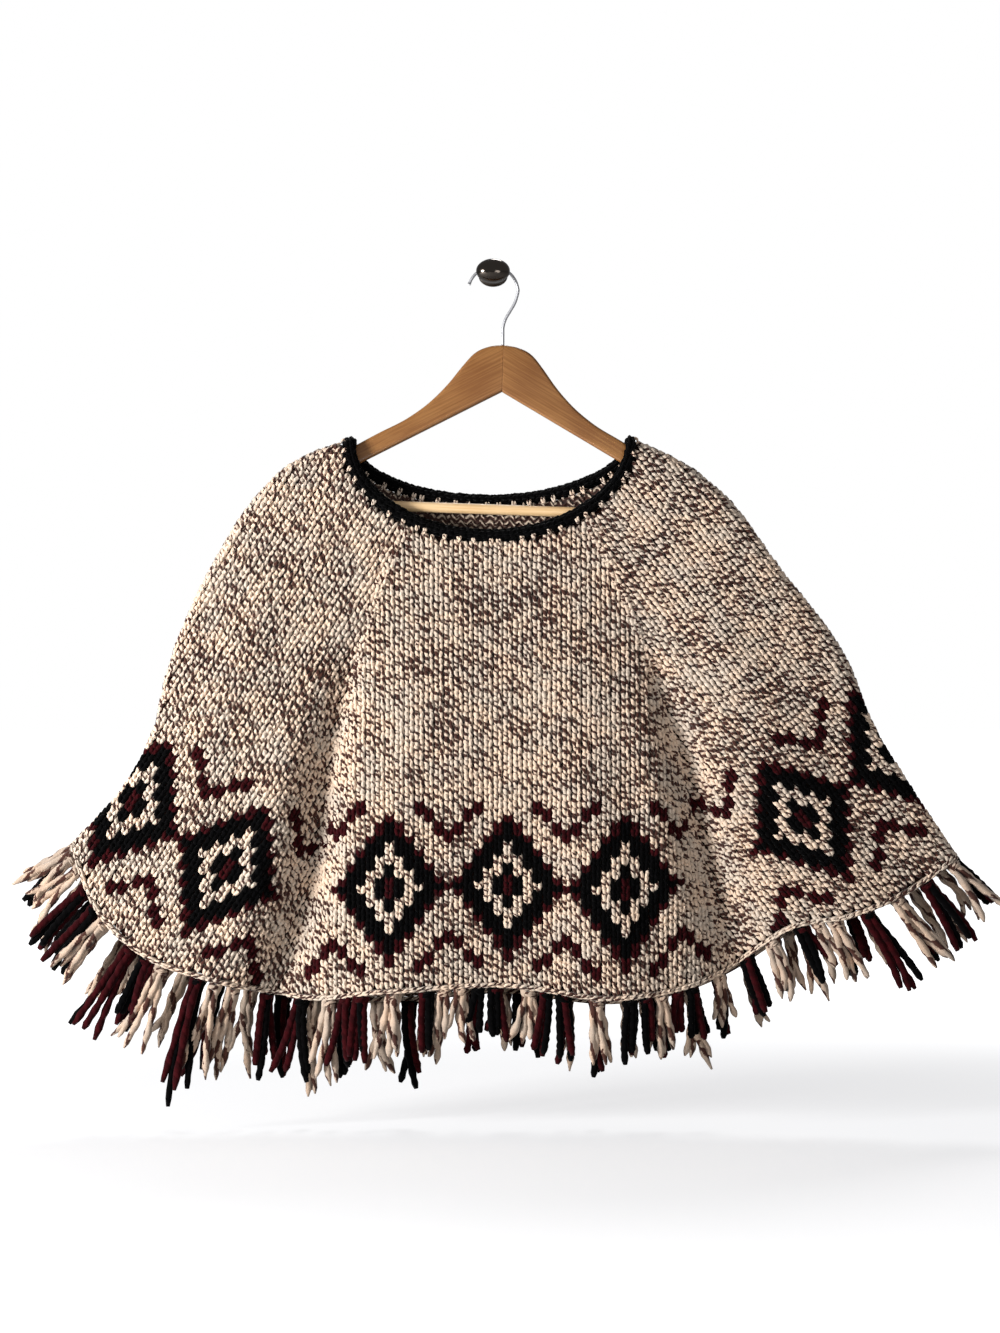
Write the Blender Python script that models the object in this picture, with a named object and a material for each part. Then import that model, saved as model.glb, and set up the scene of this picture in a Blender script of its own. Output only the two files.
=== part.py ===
"""Knitted poncho with a fringed hem, on a wooden hanger that hangs from a wall knob.

Metres, +Z up, +X to the wearer's left as seen from the front, the wall in the plane y = 0.
The origin is the middle of the knob's base, on the wall. The front of the poncho faces -Y.

The cloth is one smooth surface, cloth(around, down, inward):
  around  0 left fold, 1 front left seam, 2 front middle, 3 front right seam, 4 right fold,
          5 back right seam, 6 back middle, 7 back left seam, and 8 is 0 again
  down    0 at the neck edge, 1 at the hem
  inward  metres under the outer face
Every knitted piece is a block in those three coordinates, bent into place.
"""

import math
import random
from collections import namedtuple

import bmesh
import bpy
import numpy as np
from mathutils import Matrix, Vector

GAP = 0.0003

# The cloth
CLOTH = 0.0045
HANGER_Y = -0.030
NECK_MIDDLE_X = -0.0040
NECK_HALF_WIDTH = 0.1470
NECK_CORNER_Z = (-0.1715, -0.1705)
FRONT_NECK_DROP = 0.101
BACK_NECK_DROP = 0.065
NECK_DEPTH = 0.0140
DEPTH_GROWTH = 1.25
FOLD_ROUNDING = 0.05
FOLD_BLUNTNESS = 0.06
SEAMS = {"front": (1, 3), "right": (3, 5), "back": (5, 7), "left": (7, 9)}

# Where each seam and fold meets the neck, as a turn in degrees round the neck's oval
NeckTurn = namedtuple("NeckTurn", "around turn")
NECK_TURNS = [
    NeckTurn(0, 0),
    NeckTurn(1, 56),
    NeckTurn(3, 132),
    NeckTurn(4, 180),
    NeckTurn(5, 230),
    NeckTurn(7, 306),
    NeckTurn(8, 360),
]

# The two side folds, from the neck over the hanger's ends to the hem
SideLine = namedtuple("SideLine", "down left_x left_z right_x right_z")
SIDE_LINES = [
    SideLine(0.000, -0.1510, -0.1715, 0.1430, -0.1705),
    SideLine(0.060, -0.1790, -0.1812, 0.1640, -0.1790),
    SideLine(0.120, -0.2070, -0.1960, 0.1960, -0.1955),
    SideLine(0.190, -0.2320, -0.2195, 0.2270, -0.2200),
    SideLine(0.365, -0.2800, -0.2920, 0.2870, -0.2970),
    SideLine(0.590, -0.3270, -0.4030, 0.3560, -0.3920),
    SideLine(0.705, -0.3400, -0.4600, 0.3800, -0.4520),
    SideLine(0.865, -0.3770, -0.5270, 0.4230, -0.5240),
    SideLine(1.000, -0.4200, -0.5730, 0.4630, -0.5840),
]

# The hem, section by section: where it hangs, how far it stands off the hanger's plane,
# which way its tassels swing in degrees from straight down, and how long they are
HemSection = namedtuple("HemSection", "around x z depth swing tassel")
HEM = [
    HemSection(0.00, -0.420, -0.573, 0.016, -60, 0.066),
    HemSection(0.25, -0.394, -0.638, 0.022, -46, 0.072),
    HemSection(0.50, -0.344, -0.683, 0.032, -34, 0.088),
    HemSection(0.75, -0.278, -0.706, 0.034, -14, 0.098),
    HemSection(1.00, -0.205, -0.722, 0.024, -8, 0.085),
    HemSection(1.50, -0.109, -0.716, 0.052, -3, 0.074),
    HemSection(2.00, 0.010, -0.710, 0.044, 0, 0.058),
    HemSection(2.50, 0.128, -0.722, 0.054, 3, 0.066),
    HemSection(3.00, 0.238, -0.694, 0.020, 14, 0.058),
    HemSection(3.25, 0.296, -0.654, 0.030, 26, 0.055),
    HemSection(3.50, 0.355, -0.642, 0.036, 31, 0.064),
    HemSection(3.75, 0.414, -0.618, 0.024, 41, 0.078),
    HemSection(4.00, 0.463, -0.584, 0.016, 53, 0.060),
    HemSection(4.25, 0.430, -0.608, 0.017, 42, 0.064),
    HemSection(4.50, 0.378, -0.634, 0.021, 28, 0.062),
    HemSection(4.75, 0.312, -0.654, 0.021, 18, 0.060),
    HemSection(5.00, 0.240, -0.699, 0.017, 10, 0.060),
    HemSection(5.50, 0.130, -0.732, 0.022, 3, 0.062),
    HemSection(6.00, 0.005, -0.722, 0.023, 0, 0.060),
    HemSection(6.50, -0.100, -0.731, 0.022, -3, 0.070),
    HemSection(7.00, -0.225, -0.722, 0.017, -8, 0.080),
    HemSection(7.25, -0.292, -0.702, 0.020, -18, 0.086),
    HemSection(7.50, -0.350, -0.676, 0.020, -33, 0.080),
    HemSection(7.75, -0.396, -0.632, 0.017, -45, 0.070),
]

# Panels as blocks in the cloth's coordinates
PANEL_ROWS = 14
FLAT_PANEL_COLUMNS = 14
SIDE_PANEL_COLUMNS = 22
FOLD_CROWDING = 0.72

# The crocheted neck edge, a soft roll
NECK_EDGE_WIDTH = 0.012
NECK_EDGE_PROUD = 0.0025
NECK_EDGE_SIDES = 8

# The crocheted hem edge and its tassels
HEM_EDGE_HEIGHT = 0.007
HEM_EDGE_GAP = 0.0009
HemRun = namedtuple("HemRun", "panel start end tassels")
HEM_RUNS = [
    HemRun("front", 1, 3, 14),
    HemRun("right", 3, 4, 8),
    HemRun("right", 4, 5, 8),
    HemRun("back", 5, 7, 15),
    HemRun("left", 7, 8, 8),
    HemRun("left", 8, 9, 8),
]
STRANDS = 4
STRAND_PITCH = 0.0032
STRAND_THICK = 0.0034
STRAND_TIP = 0.0024
STRAND_INSET = 0.0004
STRAND_FAN = 0.0056
TASSEL_UNEVEN_LENGTH = 0.14
TASSEL_UNEVEN_SWING = 5
TASSEL_SEED = 11

# The hanger
HANGER_X = 0.009
HANGER_CORNER_Z = -0.1198
HANGER_ROLL = math.radians(2.0)
ARM_THICK = 0.011
ARM_BEVEL = 0.0028
ARM_SLOPE = 0.5480
BAR_Z = -0.2385
BAR_RADIUS = 0.0052
BAR_SIDES = 20
HEEL_OUT = 0.1995
ArmTop = namedtuple("ArmTop", "out z")
ARM_TOP = [
    ArmTop(0.0, -0.0727),
    ArmTop(0.014, -0.0747),
    ArmTop(0.030, -0.0830),
    ArmTop(0.041, -0.0960),
    ArmTop(0.053, -0.1120),
    ArmTop(0.072, -0.1325),
    ArmTop(0.092, -0.1483),
    ArmTop(0.124, -0.1664),
    ArmTop(0.206, -0.2150),
]
ArmEnd = namedtuple("ArmEnd", "out z")
ARM_END = [
    ArmEnd(0.2135, -0.2190),
    ArmEnd(0.2160, -0.2290),
    ArmEnd(0.2150, -0.2390),
    ArmEnd(0.2100, -0.2445),
]

# The hook and the wall knob
WIRE_RADIUS = 0.0015
HOOK_CENTRE_Z = -0.0190
HOOK_RADIUS = 0.0252
HOOK_TIP_DEGREES = 161
HOOK_TIP_RADIUS = 0.0023
STEM_X = 0.0100
STEM_FOOT_Z = -0.0729
Bend = namedtuple("Bend", "x z")
SWAN_NECK = [
    Bend(0.0100, -0.0620),
    Bend(0.0103, -0.0540),
    Bend(0.0128, -0.0460),
    Bend(0.0172, -0.0385),
    Bend(0.0222, -0.0295),
]
KNOB_FLATNESS = 0.72
KNOB_STEPS = 32
KnobRing = namedtuple("KnobRing", "radius out")
KNOB_PROFILE = [
    KnobRing(0.0145, 0.0000),
    KnobRing(0.0145, 0.0030),
    KnobRing(0.0120, 0.0050),
    KnobRing(0.0066, 0.0075),
    KnobRing(0.0060, 0.0120),
    KnobRing(0.0060, 0.0340),
    KnobRing(0.0090, 0.0370),
    KnobRing(0.0150, 0.0405),
    KnobRing(0.0170, 0.0470),
    KnobRing(0.0155, 0.0540),
    KnobRing(0.0100, 0.0588),
    KnobRing(0.0040, 0.0607),
]

Finish = namedtuple("Finish", "colour roughness metallic")
FINISHES = {
    "marl_wool": Finish((0.62, 0.50, 0.42), 0.95, 0.0),
    "black_wool": Finish((0.012, 0.011, 0.013), 0.95, 0.0),
    "oak": Finish((0.42, 0.23, 0.10), 0.45, 0.0),
    "beech": Finish((0.74, 0.54, 0.33), 0.50, 0.0),
    "steel_wire": Finish((0.62, 0.62, 0.64), 0.28, 1.0),
    "dark_nickel": Finish((0.20, 0.19, 0.18), 0.22, 1.0),
}


def column(rows, name):
    return np.array([getattr(row, name) for row in rows], float)


def smooth(stations, values, at):
    """A smooth curve through the values at the stations, straight beyond both ends."""
    slopes = np.gradient(values, stations)
    k = np.clip(np.searchsorted(stations, at) - 1, 0, len(stations) - 2)
    width = stations[k + 1] - stations[k]
    share = (at - stations[k]) / width
    f = np.clip(share, 0, 1)
    inside = (
        (2 * f**3 - 3 * f**2 + 1) * values[k]
        + (f**3 - 2 * f**2 + f) * width * slopes[k]
        + (3 * f**2 - 2 * f**3) * values[k + 1]
        + (f**3 - f**2) * width * slopes[k + 1]
    )
    return inside + (share - f) * width * np.where(share > 1, slopes[k + 1], slopes[k])


def round_the_hem(name, around):
    """A column of the hem table at any place round the hem, with no join at the left fold."""
    stations = column(HEM, "around")
    values = column(HEM, name)
    lap = 4
    stations = np.concatenate([stations[-lap:] - 8, stations, stations[:lap] + 8])
    values = np.concatenate([values[-lap:], values, values[:lap]])
    return smooth(stations, values, around)


def place(around, down):
    """Points of the cloth's outer face, as an array of x, y, z."""
    around = np.mod(around, 8)
    from_fold = np.abs(np.mod(around + 2, 4) - 2)
    nearest_fold = np.round(around / 4) * 4
    rounding = FOLD_ROUNDING * (1 - from_fold / 2) ** 4
    eased = nearest_fold + np.sign(around - nearest_fold) * (
        np.sqrt(from_fold**2 + rounding**2) - rounding
    )
    turn = np.radians(
        np.interp(eased, column(NECK_TURNS, "around"), column(NECK_TURNS, "turn"))
    )
    rightward = (1 - np.cos(turn)) / 2
    corner_z = NECK_CORNER_Z[0] + (NECK_CORNER_Z[1] - NECK_CORNER_Z[0]) * rightward
    drop = np.where(turn < math.pi, FRONT_NECK_DROP, BACK_NECK_DROP)
    neck_x = NECK_MIDDLE_X - NECK_HALF_WIDTH * np.cos(turn)
    neck_z = corner_z - drop * np.abs(np.sin(turn))
    hem_x = round_the_hem("x", eased)
    hem_z = round_the_hem("z", eased)

    shares = {}
    for name in ("left_x", "left_z", "right_x", "right_z"):
        line = column(SIDE_LINES, name)
        reached = smooth(column(SIDE_LINES, "down"), line, down)
        shares[name] = (reached - line[0]) / (line[-1] - line[0])
    spread = shares["left_x"] + (shares["right_x"] - shares["left_x"]) * rightward
    side_fall = shares["left_z"] + (shares["right_z"] - shares["left_z"]) * rightward
    near_fold = np.clip(1 - from_fold, 0, 1) ** 2
    fall = down + (side_fall - down) * near_fold

    growth = np.clip(down, 0, None) ** DEPTH_GROWTH
    hem_depth = round_the_hem("depth", eased)
    depth = NECK_DEPTH + (hem_depth - NECK_DEPTH) * growth
    forward = np.where(around < 4, 1, -1)
    bluntness = from_fold / np.sqrt(from_fold**2 + FOLD_BLUNTNESS**2)
    x = neck_x + (hem_x - neck_x) * spread
    y = HANGER_Y - forward * depth * bluntness
    z = neck_z + (hem_z - neck_z) * fall
    return np.stack(np.broadcast_arrays(x, y, z), axis=-1)


def frame_at(around, down):
    """The cloth's point, and its directions along the hem, down the cloth and outwards."""
    step = 1e-4
    here = place(around, down)
    along = place(around + step, down) - place(around - step, down)
    fall = place(around, down + step) - place(around, down - step)
    out = np.cross(fall, along)
    units = [v / np.linalg.norm(v, axis=-1, keepdims=True) for v in (along, fall, out)]
    return here, *units


def cloth(around, down, inward):
    here, _, _, out = frame_at(around, down)
    return here - out * np.asarray(inward)[..., None]


def width_of_one(around, down):
    """Metres along the cloth for one unit of around."""
    step = 1e-3
    ends = place(around + step, down) - place(around - step, down)
    return np.linalg.norm(ends, axis=-1) / (2 * step)


def fall_of_one(around):
    """Metres down the cloth, from neck to hem, at a place round it."""
    steps = np.linspace(0, 1, 60)
    line = place(np.full_like(steps, around), steps)
    return np.linalg.norm(np.diff(line, axis=0), axis=1).sum()


def make_object(name, bm, finish):
    bmesh.ops.recalc_face_normals(bm, faces=bm.faces)
    if bm.calc_volume(signed=True) < 0:
        bmesh.ops.reverse_faces(bm, faces=bm.faces)
    mesh = bpy.data.meshes.new(name)
    bm.to_mesh(mesh)
    bm.free()
    mesh.shade_smooth()
    mesh.set_sharp_from_angle(angle=math.radians(40))
    obj = bpy.data.objects.new(name, mesh)
    bpy.context.scene.collection.objects.link(obj)
    obj.data.materials.append(bpy.data.materials[finish])
    return obj


def make_finishes():
    for name, finish in FINISHES.items():
        material = bpy.data.materials.new(name)
        material.use_nodes = True
        shader = material.node_tree.nodes["Principled BSDF"]
        shader.inputs["Base Color"].default_value = (*finish.colour, 1)
        shader.inputs["Roughness"].default_value = finish.roughness
        shader.inputs["Metallic"].default_value = finish.metallic


def block(columns, rows):
    """A slab of unit cells: x counts columns, y counts rows, z is 0 outside and -1 inside."""
    bm = bmesh.new()
    bmesh.ops.create_grid(bm, x_segments=columns, y_segments=rows, size=0.5)
    bmesh.ops.scale(bm, verts=bm.verts, vec=(columns, rows, 1))
    bmesh.ops.translate(bm, verts=bm.verts, vec=(columns / 2, rows / 2, 0))
    copied = bmesh.ops.extrude_face_region(bm, geom=bm.faces[:], use_keep_orig=True)
    inner = [v for v in copied["geom"] if isinstance(v, bmesh.types.BMVert)]
    bmesh.ops.translate(bm, verts=inner, vec=(0, 0, -1))
    return bm


def between_seams(start, end, down):
    """The panel's two edges at a height, each half a gap inside its seam."""
    half_gap = GAP / 2
    return (
        start + half_gap / width_of_one(start, down),
        end - half_gap / width_of_one(end, down),
    )


def panel_columns(panel):
    """The panel's columns from seam to seam, -1 to 1, closer together towards a fold."""
    folded = panel in ("left", "right")
    count = SIDE_PANEL_COLUMNS if folded else FLAT_PANEL_COLUMNS
    crowding = FOLD_CROWDING if folded else 0
    across = np.linspace(-1, 1, count + 1)
    return across * (1 - crowding + crowding * np.abs(across))


def make_panel(panel):
    columns = panel_columns(panel)
    bm = block(len(columns) - 1, PANEL_ROWS)
    verts = list(bm.verts)
    cells = np.array([v.co for v in verts])
    down = cells[:, 1] / PANEL_ROWS
    across = columns[np.round(cells[:, 0]).astype(int)]
    low, high = between_seams(*SEAMS[panel], down)
    around = (low + high) / 2 + across * (high - low) / 2
    for vert, point in zip(verts, cloth(around, down, -cells[:, 2] * CLOTH)):
        vert.co = point
    make_object(f"{panel}_panel", bm, "marl_wool")


def columns_round_the_neck():
    """Every panel's columns, in one list from the left fold round to the left fold."""
    places = []
    for panel, (start, end) in SEAMS.items():
        across = panel_columns(panel)[:-1]
        places += list(np.mod((start + end) / 2 + across * (end - start) / 2, 8))
    return np.sort(places)


def make_neck_edge():
    """A rolled edge: its section is spun to a ring, and the ring is laid along the neck."""
    places = columns_round_the_neck()
    bm = bmesh.new()
    ring = bmesh.ops.create_circle(bm, segments=NECK_EDGE_SIDES, radius=0.5)
    bmesh.ops.rotate(
        bm, verts=ring["verts"], matrix=Matrix.Rotation(math.pi / 2, 3, "X")
    )
    bmesh.ops.translate(bm, verts=ring["verts"], vec=(2, 0, 0))
    bmesh.ops.spin(
        bm,
        geom=bm.verts[:] + bm.edges[:],
        axis=(0, 0, 1),
        angle=2 * math.pi,
        steps=len(places),
        use_merge=True,
    )
    verts = list(bm.verts)
    ring = np.array([v.co for v in verts])
    step = np.arctan2(ring[:, 1], ring[:, 0]) / (2 * math.pi) * len(places)
    around = places[np.round(step).astype(int) % len(places)]
    out = np.hypot(ring[:, 0], ring[:, 1]) - 2
    thick = CLOTH + NECK_EDGE_PROUD
    inward = CLOTH / 2 - NECK_EDGE_PROUD / 2 - out * thick
    rise = 2 * GAP + NECK_EDGE_WIDTH * (ring[:, 2] + 0.5)
    length = np.array([fall_of_one(a) for a in around])
    for vert, point in zip(verts, cloth(around, -rise / length, inward)):
        vert.co = point
    make_object("neck_edge", bm, "black_wool")


Tassel = namedtuple("Tassel", "around length swing")


def plan_tassels():
    """Each panel's tassels: evenly spaced along its hem, with uneven lengths and leans."""
    chance = random.Random(TASSEL_SEED)
    plan = {panel: [] for panel in SEAMS}
    for hem_run in HEM_RUNS:
        stations = np.linspace(hem_run.start, hem_run.end, 201)
        points = place(stations, np.ones_like(stations))
        steps = np.linalg.norm(np.diff(points, axis=0), axis=1)
        run = np.concatenate([[0], np.cumsum(steps)])
        pitch = run[-1] / hem_run.tassels
        for k in range(hem_run.tassels):
            around = float(np.interp((k + 0.5) * pitch, run, stations))
            uneven = chance.uniform(-TASSEL_UNEVEN_LENGTH, TASSEL_UNEVEN_LENGTH)
            length = float(round_the_hem("tassel", around % 8)) * (1 + uneven)
            swing = float(round_the_hem("swing", around % 8))
            swing += chance.uniform(-TASSEL_UNEVEN_SWING, TASSEL_UNEVEN_SWING)
            plan[hem_run.panel].append(Tassel(around, length, swing))
    return plan


def strand_centre(tassel, strand, share):
    """Where a strand's middle is at a share of its length, with the axes of its section."""
    around = np.array([tassel.around])
    down = np.array([1 + HEM_EDGE_HEIGHT / fall_of_one(tassel.around)])
    root, along, fall, out = (v[0] for v in frame_at(around, down))
    swing = math.radians(tassel.swing)
    hang = np.array([math.sin(swing), 0, -math.cos(swing)])
    heading = hang * (0.5 + share / 2) + fall * (0.5 - share / 2)
    heading = heading / np.linalg.norm(heading)
    offset = strand - (STRANDS - 1) / 2
    spread = STRAND_PITCH + (STRAND_FAN - STRAND_PITCH) * share
    shorter = 1 - 0.05 * abs(offset)
    centre = root - out * CLOTH / 2 + heading * tassel.length * shorter * share
    return centre + along * offset * spread, along, out


def fringe_columns(panel, tassels):
    """Places round the hem: one for each strand's side and for each of the panel's columns."""
    low, high = between_seams(*SEAMS[panel], 1.0)
    corners = (low + high) / 2 + panel_columns(panel) * (high - low) / 2
    places = []
    first_cells = []
    for tassel in tassels:
        pitch = STRAND_PITCH / width_of_one(tassel.around, 1.0)
        first = tassel.around - pitch * STRANDS / 2
        sides = first + pitch * np.arange(STRANDS + 1)
        for corner in corners:
            nearest = np.argmin(np.abs(sides - corner))
            if abs(sides[nearest] - corner) < pitch / 2:
                sides[nearest] = corner
        before = corners[(corners < sides[0]) & (corners > (places or [-1])[-1])]
        places += list(before)
        first_cells.append(len(places))
        places += list(sides)
    places += list(corners[corners > places[-1]])
    return np.array(places), first_cells


def make_fringe(panel, tassels):
    """A narrow edge under the panel's hem, with every strand drawn out of its lower face."""
    low, high = between_seams(*SEAMS[panel], 1.0)
    hem = (low + high) / 2 + panel_columns(panel) * (high - low) / 2
    arounds, first_cells = fringe_columns(panel, tassels)
    bm = block(len(arounds) - 1, 1)
    under = {}
    for face in bm.faces:
        middle = face.calc_center_median()
        if abs(middle.y - 1) < 1e-6:
            under[int(middle.x)] = face
    verts = list(bm.verts)
    cells = np.array([v.co for v in verts])
    a = arounds[np.round(cells[:, 0]).astype(int)]
    inward = -cells[:, 2] * CLOTH
    corner = np.clip(np.searchsorted(hem, a, side="right") - 1, 0, len(hem) - 2)
    share = ((a - hem[corner]) / (hem[corner + 1] - hem[corner]))[:, None]
    bottom = cloth(hem[corner], np.ones_like(a), inward) * (1 - share)
    bottom += cloth(hem[corner + 1], np.ones_like(a), inward) * share
    _, _, fall, _ = frame_at(a, np.ones_like(a))
    drop = HEM_EDGE_GAP + cells[:, 1:2] * (HEM_EDGE_HEIGHT - HEM_EDGE_GAP)
    for vert, point in zip(verts, bottom + fall * drop):
        vert.co = point
    for cell, tassel in zip(first_cells, tassels):
        for strand in range(STRANDS):
            draw_strand(bm, under[cell + strand], tassel, strand)
    make_object(f"fringe_{panel}", bm, "marl_wool")


def draw_strand(bm, face, tassel, strand):
    """Insets the root so that strands stand apart, then draws it out to its middle and tip."""
    bmesh.ops.inset_individual(bm, faces=[face], thickness=STRAND_INSET)
    for share, thick in ((0.5, STRAND_THICK), (1.0, STRAND_TIP)):
        centre, along, out = strand_centre(tassel, strand, share)
        along = Vector(along)
        out = Vector(out)
        drawn = bmesh.ops.extrude_discrete_faces(bm, faces=[face])
        face = drawn["faces"][0]
        middle = face.calc_center_median()
        for vert in face.verts:
            side = math.copysign(thick / 2, (vert.co - middle).dot(along))
            front = math.copysign(thick / 2, (vert.co - middle).dot(out))
            vert.co = Vector(centre) + along * side + out * front


def make_hanger_arm(name, side, parent):
    """Half of the hanger: its outline is filled and pressed to the wood's thickness."""
    outs = column(ARM_TOP, "out")
    heights = column(ARM_TOP, "z")
    stations = np.unique(np.concatenate([np.linspace(0, 0.124, 15), [outs[-1]]]))
    outline = [(o, float(smooth(outs, heights, o))) for o in stations]
    outline += [(end.out, end.z) for end in ARM_END]
    outline.append((HEEL_OUT, ARM_END[-1].z))
    outline.append((HEEL_OUT, HANGER_CORNER_Z - ARM_SLOPE * HEEL_OUT))
    outline.append((0, HANGER_CORNER_Z))
    bm = bmesh.new()
    verts = [
        bm.verts.new(
            (side * (o + GAP / 2), -ARM_THICK / 2, z - HANGER_CORNER_Z)
        )
        for o, z in outline
    ]
    face = bm.faces.new(verts)
    pressed = bmesh.ops.extrude_face_region(bm, geom=[face], use_keep_orig=True)
    moved = [v for v in pressed["geom"] if isinstance(v, bmesh.types.BMVert)]
    bmesh.ops.translate(bm, verts=moved, vec=(0, ARM_THICK, 0))
    obj = make_object(name, bm, "oak")
    bevel = obj.modifiers.new("rounded edges", "BEVEL")
    bevel.width = ARM_BEVEL
    bevel.segments = 2
    bevel.limit_method = "ANGLE"
    bevel.angle_limit = math.radians(40)
    obj.parent = parent


def make_bar(parent):
    bm = bmesh.new()
    length = 2 * (HEEL_OUT - GAP / 2)
    bmesh.ops.create_cone(
        bm,
        cap_ends=True,
        segments=BAR_SIDES,
        radius1=BAR_RADIUS,
        radius2=BAR_RADIUS,
        depth=length,
    )
    bmesh.ops.rotate(bm, verts=bm.verts, matrix=Matrix.Rotation(math.pi / 2, 3, "Y"))
    bmesh.ops.translate(bm, verts=bm.verts, vec=(0, 0, BAR_Z - HANGER_CORNER_Z))
    make_object("trouser_bar", bm, "beech").parent = parent


def make_hanger():
    roll = bpy.data.objects.new("hanger_tilt", None)
    bpy.context.scene.collection.objects.link(roll)
    roll.location = (HANGER_X, HANGER_Y, HANGER_CORNER_Z)
    roll.rotation_euler = (0, HANGER_ROLL, 0)
    make_hanger_arm("hanger_left", -1, roll)
    make_hanger_arm("hanger_right", 1, roll)
    make_bar(roll)


def make_hook():
    """A wire from the hanger's top, through a swan neck and over the knob, to a round tip."""
    route = [(STEM_X, STEM_FOOT_Z)]
    route += [(bend.x, bend.z) for bend in SWAN_NECK]
    for degrees in range(0, HOOK_TIP_DEGREES, 10):
        turn = math.radians(degrees)
        route.append(
            (HOOK_RADIUS * math.cos(turn), HOOK_CENTRE_Z + HOOK_RADIUS * math.sin(turn))
        )
    turn = math.radians(HOOK_TIP_DEGREES)
    tip = (HOOK_RADIUS * math.cos(turn), HOOK_CENTRE_Z + HOOK_RADIUS * math.sin(turn))
    route.append(tip)
    curve = bpy.data.curves.new("hook", "CURVE")
    curve.dimensions = "3D"
    curve.bevel_depth = WIRE_RADIUS
    curve.bevel_resolution = 2
    curve.use_fill_caps = True
    spline = curve.splines.new("POLY")
    spline.points.add(len(route) - 1)
    for point, (x, z) in zip(spline.points, route):
        point.co = (x, HANGER_Y, z, 1)
    spline.points[-1].radius = HOOK_TIP_RADIUS / WIRE_RADIUS
    spline.points[-2].radius = 1.0
    curve.materials.append(bpy.data.materials["steel_wire"])
    obj = bpy.data.objects.new("hook", curve)
    bpy.context.scene.collection.objects.link(obj)


def make_knob():
    """The oval wall knob: a profile spun round the knob's axis, then flattened a little."""
    bm = bmesh.new()
    profile = [bm.verts.new((ring.radius, -ring.out, 0)) for ring in KNOB_PROFILE]
    for one, next_one in zip(profile, profile[1:]):
        bm.edges.new((one, next_one))
    bmesh.ops.spin(
        bm,
        geom=bm.verts[:] + bm.edges[:],
        axis=(0, 1, 0),
        angle=2 * math.pi,
        steps=KNOB_STEPS,
        use_merge=True,
    )
    rims = [edge for edge in bm.edges if edge.is_boundary]
    bmesh.ops.holes_fill(bm, edges=rims, sides=0)
    bmesh.ops.scale(bm, verts=bm.verts, vec=(1, 1, KNOB_FLATNESS))
    make_object("wall_knob", bm, "dark_nickel")


def main():
    for obj in list(bpy.data.objects):
        bpy.data.objects.remove(obj)
    make_finishes()
    for panel in SEAMS:
        make_panel(panel)
    make_neck_edge()
    for panel, tassels in plan_tassels().items():
        make_fringe(panel, tassels)
    make_hanger()
    make_hook()
    make_knob()


main()
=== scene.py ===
"""The looks of the knitted poncho on its hanger.

The poncho is knitted stitch by stitch. Each panel is traced row by row over the cloth's
surface, every stitch gets its two legs, and a chart of diamonds says which yarn it takes.
"""

import math
import random
from collections import namedtuple

import bmesh
import bpy
import numpy as np
from bpy.props import FloatProperty, FloatVectorProperty, IntProperty, PointerProperty
from mathutils import Matrix, Vector


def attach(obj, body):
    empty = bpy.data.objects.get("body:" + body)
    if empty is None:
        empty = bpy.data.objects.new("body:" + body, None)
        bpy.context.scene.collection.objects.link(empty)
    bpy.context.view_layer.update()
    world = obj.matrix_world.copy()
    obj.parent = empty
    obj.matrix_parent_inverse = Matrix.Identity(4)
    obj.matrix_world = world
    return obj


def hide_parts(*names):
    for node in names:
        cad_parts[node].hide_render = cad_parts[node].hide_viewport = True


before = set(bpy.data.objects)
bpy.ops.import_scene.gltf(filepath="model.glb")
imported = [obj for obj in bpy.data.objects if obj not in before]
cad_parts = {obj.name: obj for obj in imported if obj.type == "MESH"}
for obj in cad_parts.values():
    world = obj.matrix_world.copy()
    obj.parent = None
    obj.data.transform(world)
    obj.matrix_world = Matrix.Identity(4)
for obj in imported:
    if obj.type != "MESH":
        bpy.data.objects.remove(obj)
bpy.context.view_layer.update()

bl_info = {
    "name": "Knitted Poncho",
    "version": (1, 0, 0),
    "blender": (4, 5, 0),
    "location": "3D View > Sidebar > Poncho",
    "description": "Knits a fringed poncho and hangs it on a wooden hanger",
    "category": "Object",
}


def rows_of(kind, *rows):
    """A table: each row of numbers becomes one entry of its kind."""
    return [kind(*row) for row in rows]


# The cloth, as the solids have it
CLOTH = 0.0045
HANGER_Y = -0.030
NECK_MIDDLE_X = -0.0040
NECK_HALF_WIDTH = 0.1470
NECK_CORNER_Z = (-0.1715, -0.1705)
FRONT_NECK_DROP = 0.101
BACK_NECK_DROP = 0.065
NECK_DEPTH = 0.0140
DEPTH_GROWTH = 1.25
FOLD_ROUNDING = 0.05
FOLD_BLUNTNESS = 0.06

NeckTurn = namedtuple("NeckTurn", "around turn")
NECK_TURNS = rows_of(
    NeckTurn,
    (0, 0),
    (1, 56),
    (3, 132),
    (4, 180),
    (5, 230),
    (7, 306),
    (8, 360),
)

SideLine = namedtuple("SideLine", "down left_x left_z right_x right_z")
SIDE_LINES = rows_of(
    SideLine,
    (0.000, -0.1510, -0.1715, 0.1430, -0.1705),
    (0.060, -0.1790, -0.1812, 0.1640, -0.1790),
    (0.120, -0.2070, -0.1960, 0.1960, -0.1955),
    (0.190, -0.2320, -0.2195, 0.2270, -0.2200),
    (0.365, -0.2800, -0.2920, 0.2870, -0.2970),
    (0.590, -0.3270, -0.4030, 0.3560, -0.3920),
    (0.705, -0.3400, -0.4600, 0.3800, -0.4520),
    (0.865, -0.3770, -0.5270, 0.4230, -0.5240),
    (1.000, -0.4200, -0.5730, 0.4630, -0.5840),
)

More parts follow.
